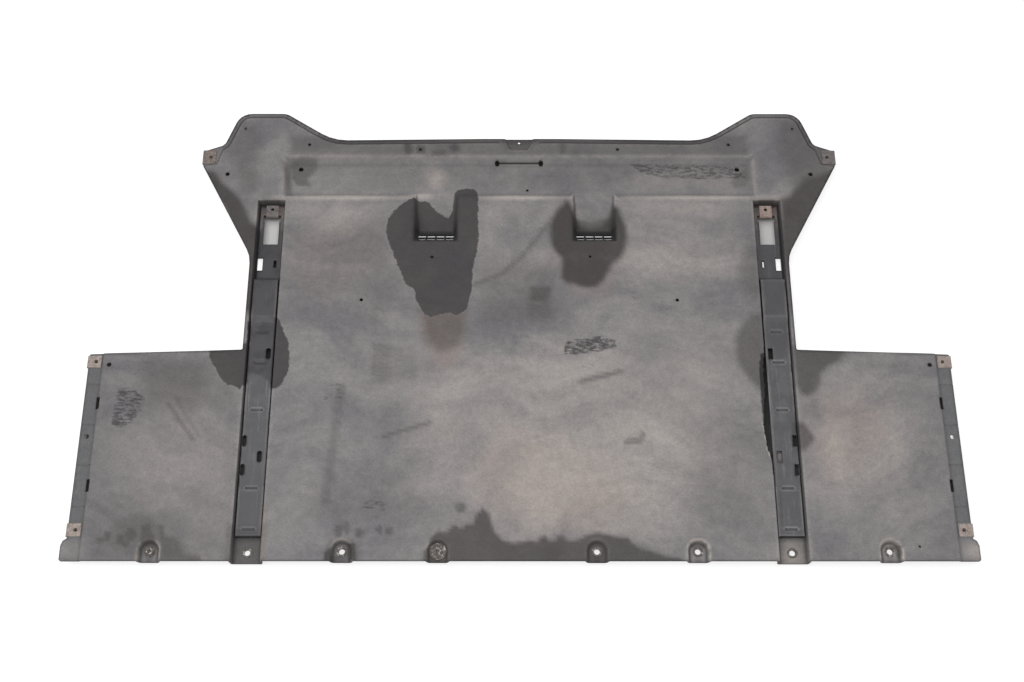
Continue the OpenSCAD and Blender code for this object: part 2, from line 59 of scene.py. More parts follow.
# Sizes that several pieces share, in millimetres.
TOTAL_L = 848.0
FACE_Z = 33.0
RAIL_X = 447.0
CHANNEL_D = 20.0
BOLT_Y = 18.0
BOLT_D = 12.6
NUT_D = 6.4
RAIL_NUT_Y = 654.0
# Slots through a rail and the tray: how far outside the rail's middle line, y, width and length.
RAIL_SLOTS = ((16, 545, 10, 26), (-11, 545, 4, 14))


class Face(Enum):
    """Which face of a sheet a height or a mark belongs to."""

    ROAD = 0
    ENGINE = 1


def to_frame(points: Array) -> Array:
    """Plan millimetres to the frame's metres: y moves back by half the length and z up by the face's height."""
    return (points + np.array([0.0, -TOTAL_L / 2, FACE_Z])) / 1000.0


def unit(v: Array) -> Array:
    """A vector's direction, one long."""
    return v / np.linalg.norm(v)


def smooth(value: Array, low: float, high: float) -> Array:
    """Rises from 0 at low to 1 at high as 3t² - 2t³, and falls where high is the smaller."""
    t = np.clip((value - low) / (high - low), 0.0, 1.0)
    return t * t * (3.0 - 2.0 * t)


def drift(p: Array, cell: float, seed: int) -> Array:
    """A smooth random field from -1 to 1 over plan points.

    Random values stand at the corners of square cells and are blended across each cell by smooth steps.

    Args:
        p: Plan points, one a row.
        cell: Side of a cell in millimetres.
        seed: Seed of the random values.

    Returns:
        One value for each point.
    """
    corners = 512
    values = np.random.default_rng(seed).uniform(-1.0, 1.0, (corners, corners))
    q = (p + 900.0) / cell  # Past the shield's left end, so that the cells count up from 0.
    i = np.floor(q).astype(int)
    u, v = smooth(q - i, 0.0, 1.0).T
    a, b = i[:, 0] % (corners - 1), i[:, 1] % (corners - 1)
    low = values[a, b] * (1 - u) + values[a + 1, b] * u
    high = values[a, b + 1] * (1 - u) + values[a + 1, b + 1] * u
    return low * (1 - v) + high * v


def corner_arc(before: Array, at: Array, after: Array, radius: float, step: float) -> Array:
    """Points of the arc that rounds one corner.

    The arc's middle lies on the corner's bisector, radius / sin(half angle) from the corner, so the arc
    touches both sides radius / tan(half angle) from it.

    Args:
        before: The point before the corner.
        at: The corner.
        after: The point after it.
        radius: Radius of the arc in millimetres.
        step: Greatest turn between two points, in degrees.

    Returns:
        The arc's points, or the corner alone where nothing is rounded.
    """
    u, v = unit(before - at), unit(after - at)
    half = math.acos(float(np.clip(u @ v, -1.0, 1.0))) / 2
    if radius <= 0 or half > STRAIGHT:
        return at[None]
    middle = at + unit(u + v) * radius / math.sin(half)
    start, end = at + u * radius / math.tan(half) - middle, at + v * radius / math.tan(half) - middle
    first = math.atan2(start[1], start[0])
    sweep = (math.atan2(end[1], end[0]) - first + math.pi) % (2 * math.pi) - math.pi
    turn = first + sweep * np.linspace(0, 1, max(1, math.ceil(abs(math.degrees(sweep)) / step)) + 1)
    return middle + radius * np.stack([np.cos(turn), np.sin(turn)], 1)


def rounded(corners: Array, step: float = 15.0, closed: bool = True) -> Array:
    """A line through corners [a, b, radius], each corner an arc.

    Args:
        corners: One corner a row.
        step: Greatest turn between two points, in degrees.
        closed: Whether the last corner joins the first. An open line keeps its two ends.

    Returns:
        The line's points, one a row.
    """
    c = np.asarray(corners, float)
    n = len(c)
    inner = range(n) if closed else range(1, n - 1)
    arcs = [corner_arc(c[i - 1, :2], c[i, :2], c[(i + 1) % n, :2], c[i, 2], step) for i in inner]
    return np.concatenate(arcs if closed else [c[:1, :2], *arcs, c[-1:, :2]])


def dish(a: float, b: float, depth: float, run: float, shoulder: float, floor_r: float) -> Array:
    """Corners of a pan's surface line from a to b: two drafted walls, rounded shoulders and a flat floor."""
    return np.array([
        [a - 50, 0, 0], [a, 0, shoulder], [a + run, -depth, floor_r],
        [b - run, -depth, floor_r], [b, 0, shoulder], [b + 50, 0, 0]])


def lowered(corners: Array, t: float) -> Array:
    """Moves a surface line down square to itself, as a sheet's other face runs.

    Each inner corner moves by (m + n) t / (1 + m·n), where m and n are its two sides' downward normals.
    Floors gain t of radius and shoulders lose it.

    Args:
        corners: Corners of the line from left to right.
        t: Thickness of the sheet.

    Returns:
        The moved corners.
    """
    p, r = corners[:, :2], corners[:, 2]
    d = np.diff(p, axis=0)
    d /= np.linalg.norm(d, axis=1)[:, None]
    n = np.stack([d[:, 1], -d[:, 0]], 1)
    bend = d[:-1, 0] * d[1:, 1] - d[:-1, 1] * d[1:, 0]
    move = (n[:-1] + n[1:]) * t / (1 + np.sum(n[:-1] * n[1:], axis=1))[:, None]
    places = np.concatenate([p[:1] + n[:1] * t, p[1:-1] + move, p[-1:] + n[-1:] * t])
    radii = np.concatenate([[0], np.where(bend > 0, r[1:-1] + t, np.maximum(r[1:-1] - t, 0)), [0]])
    return np.column_stack([places, radii])


def along(corners: Array, value: Array) -> Array:
    """Height of a rounded surface line at each value, by straight steps between its points."""
    line = rounded(corners, 20.0, closed=False)
    return np.interp(value, line[:, 0], line[:, 1])


def marks(corners: Array, step: float = 20.0) -> Array:
    """Places along a surface line at which a mesh needs a row of vertices."""
    return rounded(corners, step, closed=False)[1:-1, 0]


def bent(surface: Callable[[Array], Array], p: Array, h: float) -> Array:
    """How sharply a surface bends at each plan point: positive in hollows and negative on ridges.

    It is the heights at four neighbours h away, less four times the height itself, over h.
    """
    around = [surface(p + np.array(d) * h) for d in ((1, 0), (-1, 0), (0, 1), (0, -1))]
    return (sum(around) - 4 * surface(p)) / h


def meet(a: Array, b: Array, k: float) -> Array:
    """The higher of two pressed surfaces, their crease filled over about k, and less where one is shallow.

    Args:
        a: Heights of one surface.
        b: Heights of the other.
        k: Width of the fill in millimetres.

    Returns:
        The joined heights.
    """
    k_here = np.minimum(k, np.minimum(np.abs(a), np.abs(b))) + 1e-9
    h = np.maximum(k_here - np.abs(a - b), 0) / k_here
    return np.maximum(a, b) + h * h * k_here / 4


def join(a: Array, b: Array, k: float) -> Array:
    """The lower of two pressed surfaces, their ridge rounded over about k, and less where one is shallow."""
    return -meet(-a, -b, k)


def inside(p: Array, loop: Array) -> Array:
    """Whether each point is inside a loop: a level ray from it crosses the loop an odd number of times.

    Args:
        p: Plan points.
        loop: The loop's points.

    Returns:
        True or false for each point.
    """
    a, b = loop, np.roll(loop, -1, axis=0)
    x, y = p[:, :1], p[:, 1:]
    spans = (a[:, 1] > y) != (b[:, 1] > y)
    rise = np.where(b[:, 1] == a[:, 1], 1e-12, b[:, 1] - a[:, 1])
    crossing = a[:, 0] + (y - a[:, 1]) * (b[:, 0] - a[:, 0]) / rise
    return (np.sum(spans & (x < crossing), axis=1) % 2).astype(bool)


def depth_inside(p: Array, loop: Array, reach: float = 60.0) -> Array:
    """Signed distance to a closed loop, positive inside.

    The distance to each side is that to its nearest point, and the least of them counts. Points farther
    than reach outside the loop's box are not worked out, and get -reach.

    Args:
        p: Plan points.
        loop: The loop's points.
        reach: Distance in millimetres beyond which it doesn't matter.

    Returns:
        One distance for each point.
    """
    out = np.full(len(p), -reach)
    near = np.all((p > loop.min(0) - reach) & (p < loop.max(0) + reach), axis=1)
    q = p[near]
    a, d = loop, np.roll(loop, -1, axis=0) - loop
    length = np.maximum(np.sum(d * d, axis=1), 1e-12)
    parts = []
    for block in np.array_split(q, max(1, len(q) // 8000)):  # Blocks keep the arrays small.
        w = block[:, None, :] - a
        t = np.clip(np.sum(w * d, axis=2) / length, 0, 1)
        least = np.sqrt(np.min(np.sum((w - t[..., None] * d) ** 2, axis=2), axis=1))
        parts.append(np.where(inside(block, loop), least, -least))
    out[near] = np.concatenate(parts)
    return out


def bell(p: Array, x: float, y: float, a: float, b: float) -> Array:
    """A soft round spot: 1 in its middle, falling as exp(-u² - v²), with u and v in units of a and b."""
    return np.exp(-((p[:, 0] - x) / a) ** 2 - ((p[:, 1] - y) / b) ** 2)


def mirrored(p: Array) -> Array:
    """The plan points with the left half mirrored onto the right."""
    return np.column_stack([np.abs(p[:, 0]), p[:, 1]])


def circle(x: float, y: float, d: float) -> Array:
    """A round loop of 24 points."""
    turn = np.linspace(0, 2 * np.pi, 24, endpoint=False)
    return np.array([x, y]) + d / 2 * np.stack([np.cos(turn), np.sin(turn)], 1)


def slot(x: float, y: float, w: float, l: float, r: float) -> Array:
    """A slot's loop: a w by l rectangle with corners rounded by r."""
    a, b = w / 2, l / 2
    return rounded([[x - a, y - b, r], [x + a, y - b, r], [x + a, y + b, r], [x - a, y + b, r]], 22.5)


def window_loop(x: float, grow: float) -> Array:
    """Loop of a rail's T-shaped window, grown by a clearance: 27 mm wide, its 32 mm head at the rear.

    Args:
        x: Place of its middle.
        grow: The clearance.

    Returns:
        The loop's points.
    """
    w, head = 13.5 + grow, 16.0 + grow
    low, neck, top = 584 - grow, 630 - grow, 643 + grow
    return np.array([[x - w, low], [x + w, low], [x + w, neck], [x + head, neck], [x + head, top],
                     [x - head, top], [x - head, neck], [x - w, neck]])


def divided(loop: Array, step: float) -> Array:
    """The loop with each side cut into equal lengths of at most step.

    Args:
        loop: The loop's points.
        step: Greatest length of a part.

    Returns:
        The points of the finer loop.
    """
    after = np.roll(loop, -1, axis=0)
    counts = np.maximum(1, np.ceil(np.linalg.norm(after - loop, axis=1) / step)).astype(int)
    share = np.concatenate([np.arange(n) / n for n in counts])[:, None]
    return np.repeat(loop, counts, axis=0) * (1 - share) + np.repeat(after, counts, axis=0) * share


def rows(low: float, high: float, step: float, *stops: Array) -> Array:
    """Values from low to high that pass through every stop and are never more than step apart.

    Args:
        low: First value.
        high: Last value.
        step: Greatest step.
        *stops: Values to pass through, in any order.

    Returns:
        The rising values.
    """
    held = [s[(s > low + 0.2) & (s < high - 0.2)] for s in map(np.asarray, stops)]
    held = np.unique(np.round(np.concatenate([[low, high], *held]), 3))
    held = held[np.concatenate([[True], np.diff(held) > 0.12])]
    counts = np.maximum(1, np.ceil(np.diff(held) / step)).astype(int)
    share = np.concatenate([np.arange(n) / n for n in counts])
    return np.append(np.repeat(held[:-1], counts) + share * np.repeat(np.diff(held), counts), held[-1])


def crossings(xs: Array, ys: Array) -> Array:
    """Every crossing of the columns xs and the rows ys, as points."""
    return np.stack(np.meshgrid(xs, ys), -1).reshape(-1, 2)


def scatter(base: Array, patches: list[tuple[Array, Array]]) -> Array:
    """Lays patches of columns and rows over base points in order, each clearing its own rectangle first."""
    for xs, ys in patches:
        low, high = np.array([xs[0], ys[0]]) - 0.8, np.array([xs[-1], ys[-1]]) + 0.8
        base = np.concatenate([base[np.any((base < low) | (base > high), axis=1)], crossings(xs, ys)])
    return base


@dataclass
class PressedSheet:
    """A sheet with holes, whose two faces are heights over the plan.

    Attributes:
        name: Name of the piece.
        loops: The outline, anticlockwise, and then the holes in any direction.
        points: Gives the loose plan points of a face.
        height: Gives the height of a face over plan points.
        marks: Gives named values for the plan points of a face.
    """

    name: str
    loops: list[Array]
    points: Callable[[Face], Array]
    height: Callable[[Array, Face], Array]
    marks: Callable[[Array, Face], dict[str, Array]]

    def _covered(self, p: Array) -> Array:
        """Which plan points lie on the sheet: inside its outline and in none of its holes.

        Args:
            p: Plan points.

        Returns:
            True or false for each point.
        """
        keep = inside(p, self.loops[0])
        for hole in self.loops[1:]:
            near = np.flatnonzero(np.all((p > hole.min(0)) & (p < hole.max(0)), axis=1))
            keep[near[inside(p[near], hole)]] = False
        return keep

    def _clear(self, p: Array, gap: float = 1.1) -> Array:
        """The loose points that keep a gap from every loop.

        Args:
            p: Loose plan points.
            gap: The gap in millimetres.

        Returns:
            The points that keep it.
        """
        p = p[depth_inside(p, self.loops[0], 2000.0) > gap]
        for hole in self.loops[1:]:
            p = p[depth_inside(p, hole, 4.0) < -gap]
        return p

    def _triangles(self, loose: Array) -> tuple[Array, Array, Array]:
        """Joins the loops and loose points by triangles.

        It is the Delaunay mesh that keeps every side of the loops, less the triangles whose middles are off
        the sheet.

        Args:
            loose: Loose plan points.

        Returns:
            The plan points, the triangles and the new index of each loop point.
        """
        ring = np.concatenate(self.loops)
        starts = np.cumsum([0] + [len(loop) for loop in self.loops])
        sides = [(s + i, s + (i + 1) % (e - s)) for s, e in zip(starts, starts[1:]) for i in range(e - s)]
        every = np.concatenate([ring, self._clear(loose)])
        places = [Vector(v) for v in every.tolist()]
        verts, _, faces, origin, _, _ = delaunay_2d_cdt(places, sides, [], 0, 1e-5)  # 0 keeps all triangles.
        p = np.array([v[:] for v in verts])
        t = np.array([f for f in faces if len(f) == 3])
        t = t[self._covered(p[t].mean(1))]
        index = np.zeros(len(every), int)
        counts = [len(o) for o in origin]
        index[np.concatenate([np.asarray(o, int) for o in origin if o])] = np.repeat(np.arange(len(p)), counts)
        return p, t, index[:len(ring)]

    def build(self) -> bpy.types.Object:
        """Makes the closed mesh: both faces, and a wall round the outline and each hole.

        A wall's side goes from one loop point of the road face down to the engine face, on to the next
        point and up again, so it faces away from the sheet.

        Returns:
            The new object, linked to the scene, with its marks as attributes of its vertices.
        """
        self.loops = [loop if (i == 0) == (area(loop) > 0) else loop[::-1] for i, loop in enumerate(self.loops)]
        (p0, t0, ring0), (p1, t1, ring1) = [self._triangles(self.points(face)) for face in Face]
        verts = np.concatenate([np.column_stack([p, self.height(p, face)]) for p, face in zip((p0, p1), Face)])
        starts = np.cumsum([0] + [len(loop) for loop in self.loops])
        after = np.concatenate([np.roll(np.arange(len(loop)), -1) + s for loop, s in zip(self.loops, starts)])
        n = len(p0)
        quads = np.stack([ring0, ring1 + n, ring1[after] + n, ring0[after]], 1)
        obj = object_from(self.name, to_frame(verts), np.concatenate([t0, t1[:, ::-1] + n]), quads)
        road, engine = self.marks(p0, Face.ROAD), self.marks(p1, Face.ENGINE)
        for key in road:
            set_values(obj, key, np.concatenate([road[key], engine[key]]))
        return obj


def area(loop: Array) -> float:
    """Signed area of a loop, positive where it runs anticlockwise."""
    x, y = loop.T
    return float(np.sum(x * np.roll(y, -1) - np.roll(x, -1) * y) / 2)


def linked(name: str, data: bpy.types.ID) -> bpy.types.Object:
    """A new object, linked to the scene.

    Args:
        name: Name of the object.
        data: Its mesh, camera or light.

    Returns:
        The object.
    """
    obj = bpy.data.objects.new(name, data)
    bpy.context.scene.collection.objects.link(obj)
    return obj


def object_from(name: str, verts: Array, tris: Array, quads: Array) -> bpy.types.Object:
    """Puts arrays into a new mesh object. Triangles are shaded smooth and quads flat.

    Args:
        name: Name of the object.
        verts: Vertices in metres, one a row.
        tris: Triangles.
        quads: Four-sided faces.

    Returns:
        The object, linked to the scene.
    """
    mesh = bpy.data.meshes.new(name)
    mesh.vertices.add(len(verts))
    mesh.vertices.foreach_set("co", np.ascontiguousarray(verts, np.float32).ravel())
    mesh.loops.add(tris.size + quads.size)
    mesh.loops.foreach_set("vertex_index", np.concatenate([tris.ravel(), quads.ravel()]).astype(np.int32))
    mesh.polygons.add(len(tris) + len(quads))
    starts = np.concatenate([np.arange(len(tris)) * 3, tris.size + np.arange(len(quads)) * 4])
    mesh.polygons.foreach_set("loop_start", starts.astype(np.int32))
    mesh.polygons.foreach_set("use_smooth", np.arange(len(starts)) < len(tris))
    mesh.update(calc_edges=True)
    mesh.validate()
    return linked(name, mesh)


def set_values(obj: bpy.types.Object, key: str, values: Array) -> None:
    """Stores one value for each vertex as the attribute key, for the finishes to read.

    Args:
        obj: The object.
        key: Name of the attribute.
        values: The values, in the vertices' order.
    """
    obj.data.attributes.new(key, "FLOAT", "POINT").data.foreach_set("value", values.astype(np.float32))


def linear(code: str) -> tuple[float, float, float, float]:
    """An sRGB hex colour as linear red, green and blue, with full opacity."""
    parts = [int(code[i:i + 2], 16) / 255 for i in (1, 3, 5)]
    return (*[c / 12.92 if c <= 0.04045 else ((c + 0.055) / 1.055) ** 2.4 for c in parts], 1.0)


def node(tree: bpy.types.NodeTree, kind: str, inputs: dict | tuple = (), output: int | str = 0,
         **settings: str | bool) -> bpy.types.NodeSocket:
    """Adds a node.

    Only a mix is wired by numbers, because the names of its sockets repeat: it takes its share at 0, two
    numbers at 2 and 3, two vectors at 4 and 5 or two colours at 6 and 7, and gives a vector at 1 and a
    colour at 2.

    Args:
        tree: The node tree.
        kind: Blender's name of the node, less its first word ShaderNode.
        inputs: Values, sRGB hex colours or other nodes' outputs: for its inputs by name or number, or for
            its first inputs in order.
        output: Name or number of the output to give back.
        **settings: The node's own properties.

    Returns:
        The chosen output, or the first input of a node that has none.
    """
    made = tree.nodes.new("ShaderNode" + kind)
    for key, value in settings.items():
        setattr(made, key, value)
    for key, value in (inputs if isinstance(inputs, dict) else dict(enumerate(inputs))).items():
        if isinstance(value, bpy.types.NodeSocket):
            tree.links.new(value, made.inputs[key])
        else:
            made.inputs[key].default_value = linear(value) if isinstance(value, str) else value
    return made.outputs[output] if len(made.outputs) else made.inputs[0]


def blank_material(name: str) -> tuple[bpy.types.Material, bpy.types.NodeTree]:
    """A new material with an empty node tree.

    Args:
        name: Name of the material.

    Returns:
        The material and its tree.
    """
    material = bpy.data.materials.new(name)
    material.use_nodes = True
    material.node_tree.nodes.clear()
    return material, material.node_tree


def settle(obj: bpy.types.Object, solid: str, finish: "Finish") -> bpy.types.Object:
    """Dresses a piece, lets it ride on the body and stand for a solid.

    Args:
        obj: The finished piece.
        solid: Name of the solid it stands for.
        finish: Its finish.

    Returns:
        The same piece.
    """
    obj.data.materials.append(finish.material())
    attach(obj, BODY)
    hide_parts(solid)
    log.info("%s: %d faces, stands for %s", obj.name, len(obj.data.polygons), solid)
    return obj


@dataclass
class PressedTray:
    """The moulded sheet with its pressings, holes, the dirt lying on it and the shade painted in its recesses.

    Sizes are in plan millimetres. A name ends in w, l, d, r, x or y for a width, a length, a depth, a radius
    or a place. The waves are a cell and a seed of drift.
    """

    sheet_t: float = 3.0
    corner_half_w: float = 750.0
    wing_half_w: float = 741.0
    wing_l: float = 364.0
    neck_half_w: float = 478.0
    neck_y: float = 553.0
    lip_y: float = 791.0
    lip_bow: float = 4.0
    ear_half_w: float = 577.0
    ear_top_xs: tuple[float, float, float] = (342.0, 431.0, 516.0)
    ear_tab_y: float = 768.0
    ear_tip_y: float = 736.0
    rim_w: float = 9.0
    rim_drop: float = 2.0
    trough: tuple[float, float] = (670.0, 757.0)
    trough_half_w: float = 428.0
    trough_d: tuple[float, float] = (8.0, 15.0)
    scoop_xs: tuple[float, float] = (-150.0, 135.0)
    scoop_w: float = 78.0
    scoop_head_y: float = 581.0
    scoop_face_run: float = 31.0
    scoop_d: float = 30.0
    louvre: tuple[float, float] = (14.0, 7.0)
    louvre_pitch: tuple[float, float] = (16.5, 11.0)
    rail_x: float = RAIL_X
    channel_half_w: float = 24.5
    channel_d: float = CHANNEL_D
    channel_end_y: float = 665.0
    pocket_w: float = 36.0
    pocket_d: float = 12.0
    pocket_run: float = 3.0
    bolt_y: float = BOLT_Y
    strip_w: float = 26.0
    strip_drop: float = 2.5
    slit_half_l: float = 40.0
    slit_end_r: float = 4.5
    slit_half_w: float = 1.25
    panel_sag: float = 0.8
    panel_wave: tuple[float, int] = (150.0, 3)
    sag_wave: tuple[float, int] = (5.0, 8)
    shade_wave: tuple[float, int] = (6.0, 8)
    mesh_step: float = 5.4
    pocket_xs: tuple[float, ...] = (-605.0, -291.0, -134.0, 126.0, 291.0, 605.0)
    crease_ys: tuple[float, ...] = (92.0, 164.0, 235.0, 308.0)
    # Middle of the pale patch painted under the right rail's inner slot as the bright floor seen through it.
    painted_slot_light: tuple[float, float] = (437.0, 188.0)
    sag_box: tuple[tuple[float, float], tuple[float, float]] = ((405.0, 421.0), (148.0, 374.0))

    def __post_init__(self) -> None:
        """Works out the surface lines that both faces share, and the outline."""
        front, rear = self.trough
        shallow, deep = self.trough_d
        head, foot = self.scoop_head_y, self.scoop_head_y + self.scoop_face_run
        self.trough_line = np.array([
            [front - 50, 0, 0], [front, 0, 10], [front + 11, -shallow, 6],
            [rear - 14, -deep, 6], [rear, 0, 6], [rear + 50, 0, 0]])
        self.trough_ends = dish(-self.trough_half_w, self.trough_half_w, deep + 4, 14, 8, 6)
        self.scoop_line = np.array([
            [head - 50, 0, 0], [head, 0, 3], [foot, -self.scoop_d, 3], [foot + 8, -self.scoop_d, 6],
            [front + 11, -shallow, 26], [front + 33, -shallow - 1.5, 4], [front + 60, 30, 0]])
        self.channel_line = dish(-self.channel_half_w, self.channel_half_w, self.channel_d, 1.5, 2, 1)
        self.channel_end = dish(-100, self.channel_end_y, self.channel_d, 1.5, 2, 1)
        self.pocket_line = dish(0, self.pocket_w + 40, self.pocket_d, self.pocket_run + 1.5, 4, 3)
        self.strip_x = x = self.wing_half_w - self.strip_w
        self.strip_line = np.array([[x - 50, 0, 0], [x, 0, 3], [x + 3, -self.strip_drop, 2],
                                    [x + 20, -self.strip_drop, 0], [x + 70, -self.strip_drop, 0]])
        self.outline = self._outline()

    def _outline(self) -> Array:
        """The plan outline: rounded corners of the right half, mirrored to the left."""
        wing, neck, corner, ear = self.wing_half_w, self.neck_half_w, self.corner_half_w, self.ear_half_w
        foot, inner, outer = self.ear_top_xs
        right = np.array([
            [0, self.lip_y + self.lip_bow, 6000], [foot, self.lip_y, 90], [inner, TOTAL_L, 25],
            [outer, TOTAL_L, 30], [ear - 36, self.ear_tab_y + 13, 14], [ear, self.ear_tab_y, 2],
            [ear, self.ear_tip_y, 3], [neck, self.neck_y, 60], [neck, self.wing_l + 8, 3],
            [wing, self.wing_l, 3], [wing, 38, 1], [corner - 3, 34, 1], [corner, 26, 2], [corner, 0, 4]], float)
        left = (right * [-1, 1, 1])[:0:-1]
        return rounded(np.concatenate([right, left]))[::-1]

    def _under(self, face: Face) -> float:
        """How far a face lies below the road face."""
        return 0.0 if face is Face.ROAD else self.sheet_t

    def _own(self, corners: Array, face: Face) -> Array:
        """A surface line's corners on one face. The engine face's line is moved down square to itself."""
        return corners if face is Face.ROAD else lowered(corners, self.sheet_t)

    def _line(self, corners: Array, value: Array, face: Face) -> Array:
        """A surface line's height above a face's own flat."""
        return along(self._own(corners, face), value) + self._under(face)

    def _scoop_walls(self, middle: float) -> Array:
        """The surface line across one scoop."""
        return dish(middle - self.scoop_w / 2, middle + self.scoop_w / 2, self.scoop_d + 4, 9, 9, 4)

    def _sag(self) -> Array:
        """Loop of the stretch where the right channel's inner wall has sagged away from the rail."""
        x = self.rail_x - self.channel_half_w
        return np.array([[x + 6, 170], [x - 1, 174], [x - 7, 196], [x - 8, 210], [x - 10, 226], [x - 9, 240],
                         [x - 6, 272], [x - 3.5, 314], [x - 3, 356], [x + 1, 362], [x + 6, 362]], float)

    def _in_tab(self, p: Array) -> Array:
        """Depth in the ears' fastener tabs, which lie as low as the rim.

        Args:
            p: Plan points.

        Returns:
            Signed distances, positive inside a tab.
        """
        x, y = self.ear_half_w, self.ear_tip_y
        tab = np.array([[x - 36, TOTAL_L], [x - 34, self.ear_tab_y + 2], [x - 25, y + 4], [x + 4, y],
                        [x + 4, TOTAL_L]], float)
        return depth_inside(mirrored(p), tab)

    def _notch(self) -> Array:
        """Loop of the notch pressed into the middle of the lip."""
        top, low = self.lip_y + 30, self.lip_y + self.lip_bow - 26
        return rounded([[-29, top, 0], [29, top, 0], [25, self.lip_y - 3, 6], [16, low, 5],
                        [-16, low, 5], [-25, self.lip_y - 3, 6]])[::-1]

    def height(self, p: Array, face: Face) -> Array:
        """Height of a face over plan points.

        Each pressing is the higher of a line along the shield and a line across it, and the sheet is the
        lowest of them all. The engine face uses the same lines moved down square to themselves, so the wall
        keeps its thickness. The wide panels sag by up to a millimetre and a half between their stiff edges.

        Args:
            p: Plan points.
            face: Which face.

        Returns:
            Heights in millimetres from the panel's face.
        """
        x, y = p.T
        under = self._under(face)
        stiff = np.minimum.reduce([np.abs(np.abs(x) - self.rail_x) - 34, y - 46, 640 - y, 700 - np.abs(x)])
        panel = -smooth(stiff, 0, 70) * (self.panel_sag + 0.75 * drift(p, *self.panel_wave))
        trough = meet(self._line(self.trough_line, y, face), self._line(self.trough_ends, x, face), 7)
        for middle in self.scoop_xs:
            walls = self._line(self._scoop_walls(middle), x, face)
            trough = join(trough, meet(self._line(self.scoop_line, y, face), walls, 5), 1.2)
        pressed = [panel, trough]
        for side in (-1, 1):
            across = self._line(self.channel_line, x - side * self.rail_x, face)
            pressed.append(np.maximum(across, self._line(self.channel_end, y, face)))
        sag = depth_inside(p, self._sag()) + 1.3 * drift(p, *self.sag_wave) + under
        pressed.append(-self.channel_d * smooth(sag, -0.4, 1.2))
        for middle in self.pocket_xs:
            reach = np.where(y < self.bolt_y, np.abs(x - middle), np.hypot(x - middle, y - self.bolt_y))
            pressed.append(self._line(self.pocket_line, self.pocket_w / 2 - reach, face))
        pressed.append(self._line(self.strip_line, np.abs(x), face) - 0.8 * self._crease(p))
        step = self.rim_w + under
        rim = smooth(depth_inside(p, self.outline), step + 0.7, step - 0.7) * self._rim_zone(p)
        pressed.append(-self.rim_drop * np.maximum(rim, smooth(self._in_tab(p) + under, -0.7, 0.7)))
        notch = smooth(depth_inside(p, self._notch()) + under, -0.5, 2.0)
        pressed.append(-(self.rim_drop + 2.5) * notch)
        return np.minimum.reduce(pressed) - under

    def _crease(self, p: Array) -> Array:
        """How far a plan point lies in one of the grooves across a wing strip, from 0 to 1."""
        gap = np.min(np.abs(p[:, 1:] - np.array(self.crease_ys)), axis=1)
        return smooth(gap, 1.9, 1.0) * (np.abs(p[:, 0]) > self.strip_x + 3)

    def _rim_zone(self, p: Array) -> Array:
        """Where the stepped rim runs: along the lip and round the ears, fading out beside their tabs."""
        return smooth(p[:, 1], self.ear_tab_y, self.ear_tab_y + 4) * smooth(np.abs(p[:, 0]), 544, 541)

    def _holes(self) -> list[Array]:
        """Loops of every hole: round ones, the slit, slots, windows and the louvres of both scoops."""
        x, r = self.rail_x, self.slit_end_r
        turn = np.linspace(-1, 1, 29) * (math.pi - math.asin(self.slit_half_w / r))
        cap = np.array([self.slit_half_l, self.trough[1] - 9.5]) + r * np.stack([np.cos(turn), np.sin(turn)], 1)
        loops = [divided(np.concatenate([cap, (cap * [-1, 1])[::-1]]), 5.0)]
        singles = ((0, self.lip_y + self.lip_bow - 8, 5), (15, 690, 5), (-155, 551, 5), (126, 552, 5),
                   (652, 24, 4))
        pairs = ((385, 781, 6), (181, 771, 6), (531, 719, 8), (505, 815, 5), (277, 467, 6), (705, 344, 8),
                 (400, 736.5, 9), (729, 214, 8), (728, 350, NUT_D), (728, 52, NUT_D), (x, RAIL_NUT_Y, NUT_D),
                 (self.ear_half_w - 13, (self.ear_tab_y + self.ear_tip_y) / 2 + 3, NUT_D),
                 (605, self.bolt_y, BOLT_D), (x, self.bolt_y, BOLT_D), (291, self.bolt_y, BOLT_D))
        loops += [circle(*place) for place in singles]
        loops += [circle(side * x, y, d) for x, y, d in pairs for side in (-1, 1)]
        loops += [circle(x, self.bolt_y, BOLT_D) for x in (-134, 126)]
        for side in (-1, 1):
            loops += [slot(side * 717, y, 6, 22, 1) for y in (128, 274)]
            loops += [slot(side * (self.rail_x + off), y, w, l, 1) for off, y, w, l in RAIL_SLOTS]
            loops.append(window_loop(side * self.rail_x, 1.0))
        (w, l), (pitch_x, pitch_y), low = self.louvre, self.louvre_pitch, self.scoop_head_y + 10
        for middle in self.scoop_xs:
            loops += [divided(slot(middle + (i - 1.5) * pitch_x, low + j * pitch_y, w, l, 0.6), 2.6)
                      for i in range(4) for j in range(2)]
        return loops

    def _loops(self) -> list[Array]:
        """The outline, cut finely and at every step of the front edge, and then the holes."""
        stops = []
        for face in Face:
            for side in (-1, 1):
                stops += [side * self.rail_x + self._stops(self.channel_line, face),
                          side * self._stops(self.strip_line, face)]
            for middle in self.pocket_xs:
                wall = self.pocket_w / 2 - self._stops(self.pocket_line, face)
                stops += [middle - wall[wall > 0], middle + wall[wall > 0]]
        # The outline starts at the left end of the front edge, and that edge is drawn through every stop.
        first = int(np.argmin(self.outline[:, 0] + 1e4 * (self.outline[:, 1] > 1e-6)))
        whole = divided(np.roll(self.outline, -first, axis=0), 4.0)
        front = rows(whole[0, 0], -whole[0, 0], 5.0, *stops)
        edge = [np.column_stack([front, np.zeros(len(front))]), whole[whole[:, 1] > 1e-6]]
        return [np.concatenate(edge), *self._holes()]

    def _stops(self, corners: Array, face: Face) -> Array:
        """Where a surface line bends on one face."""
        return marks(self._own(corners, face))

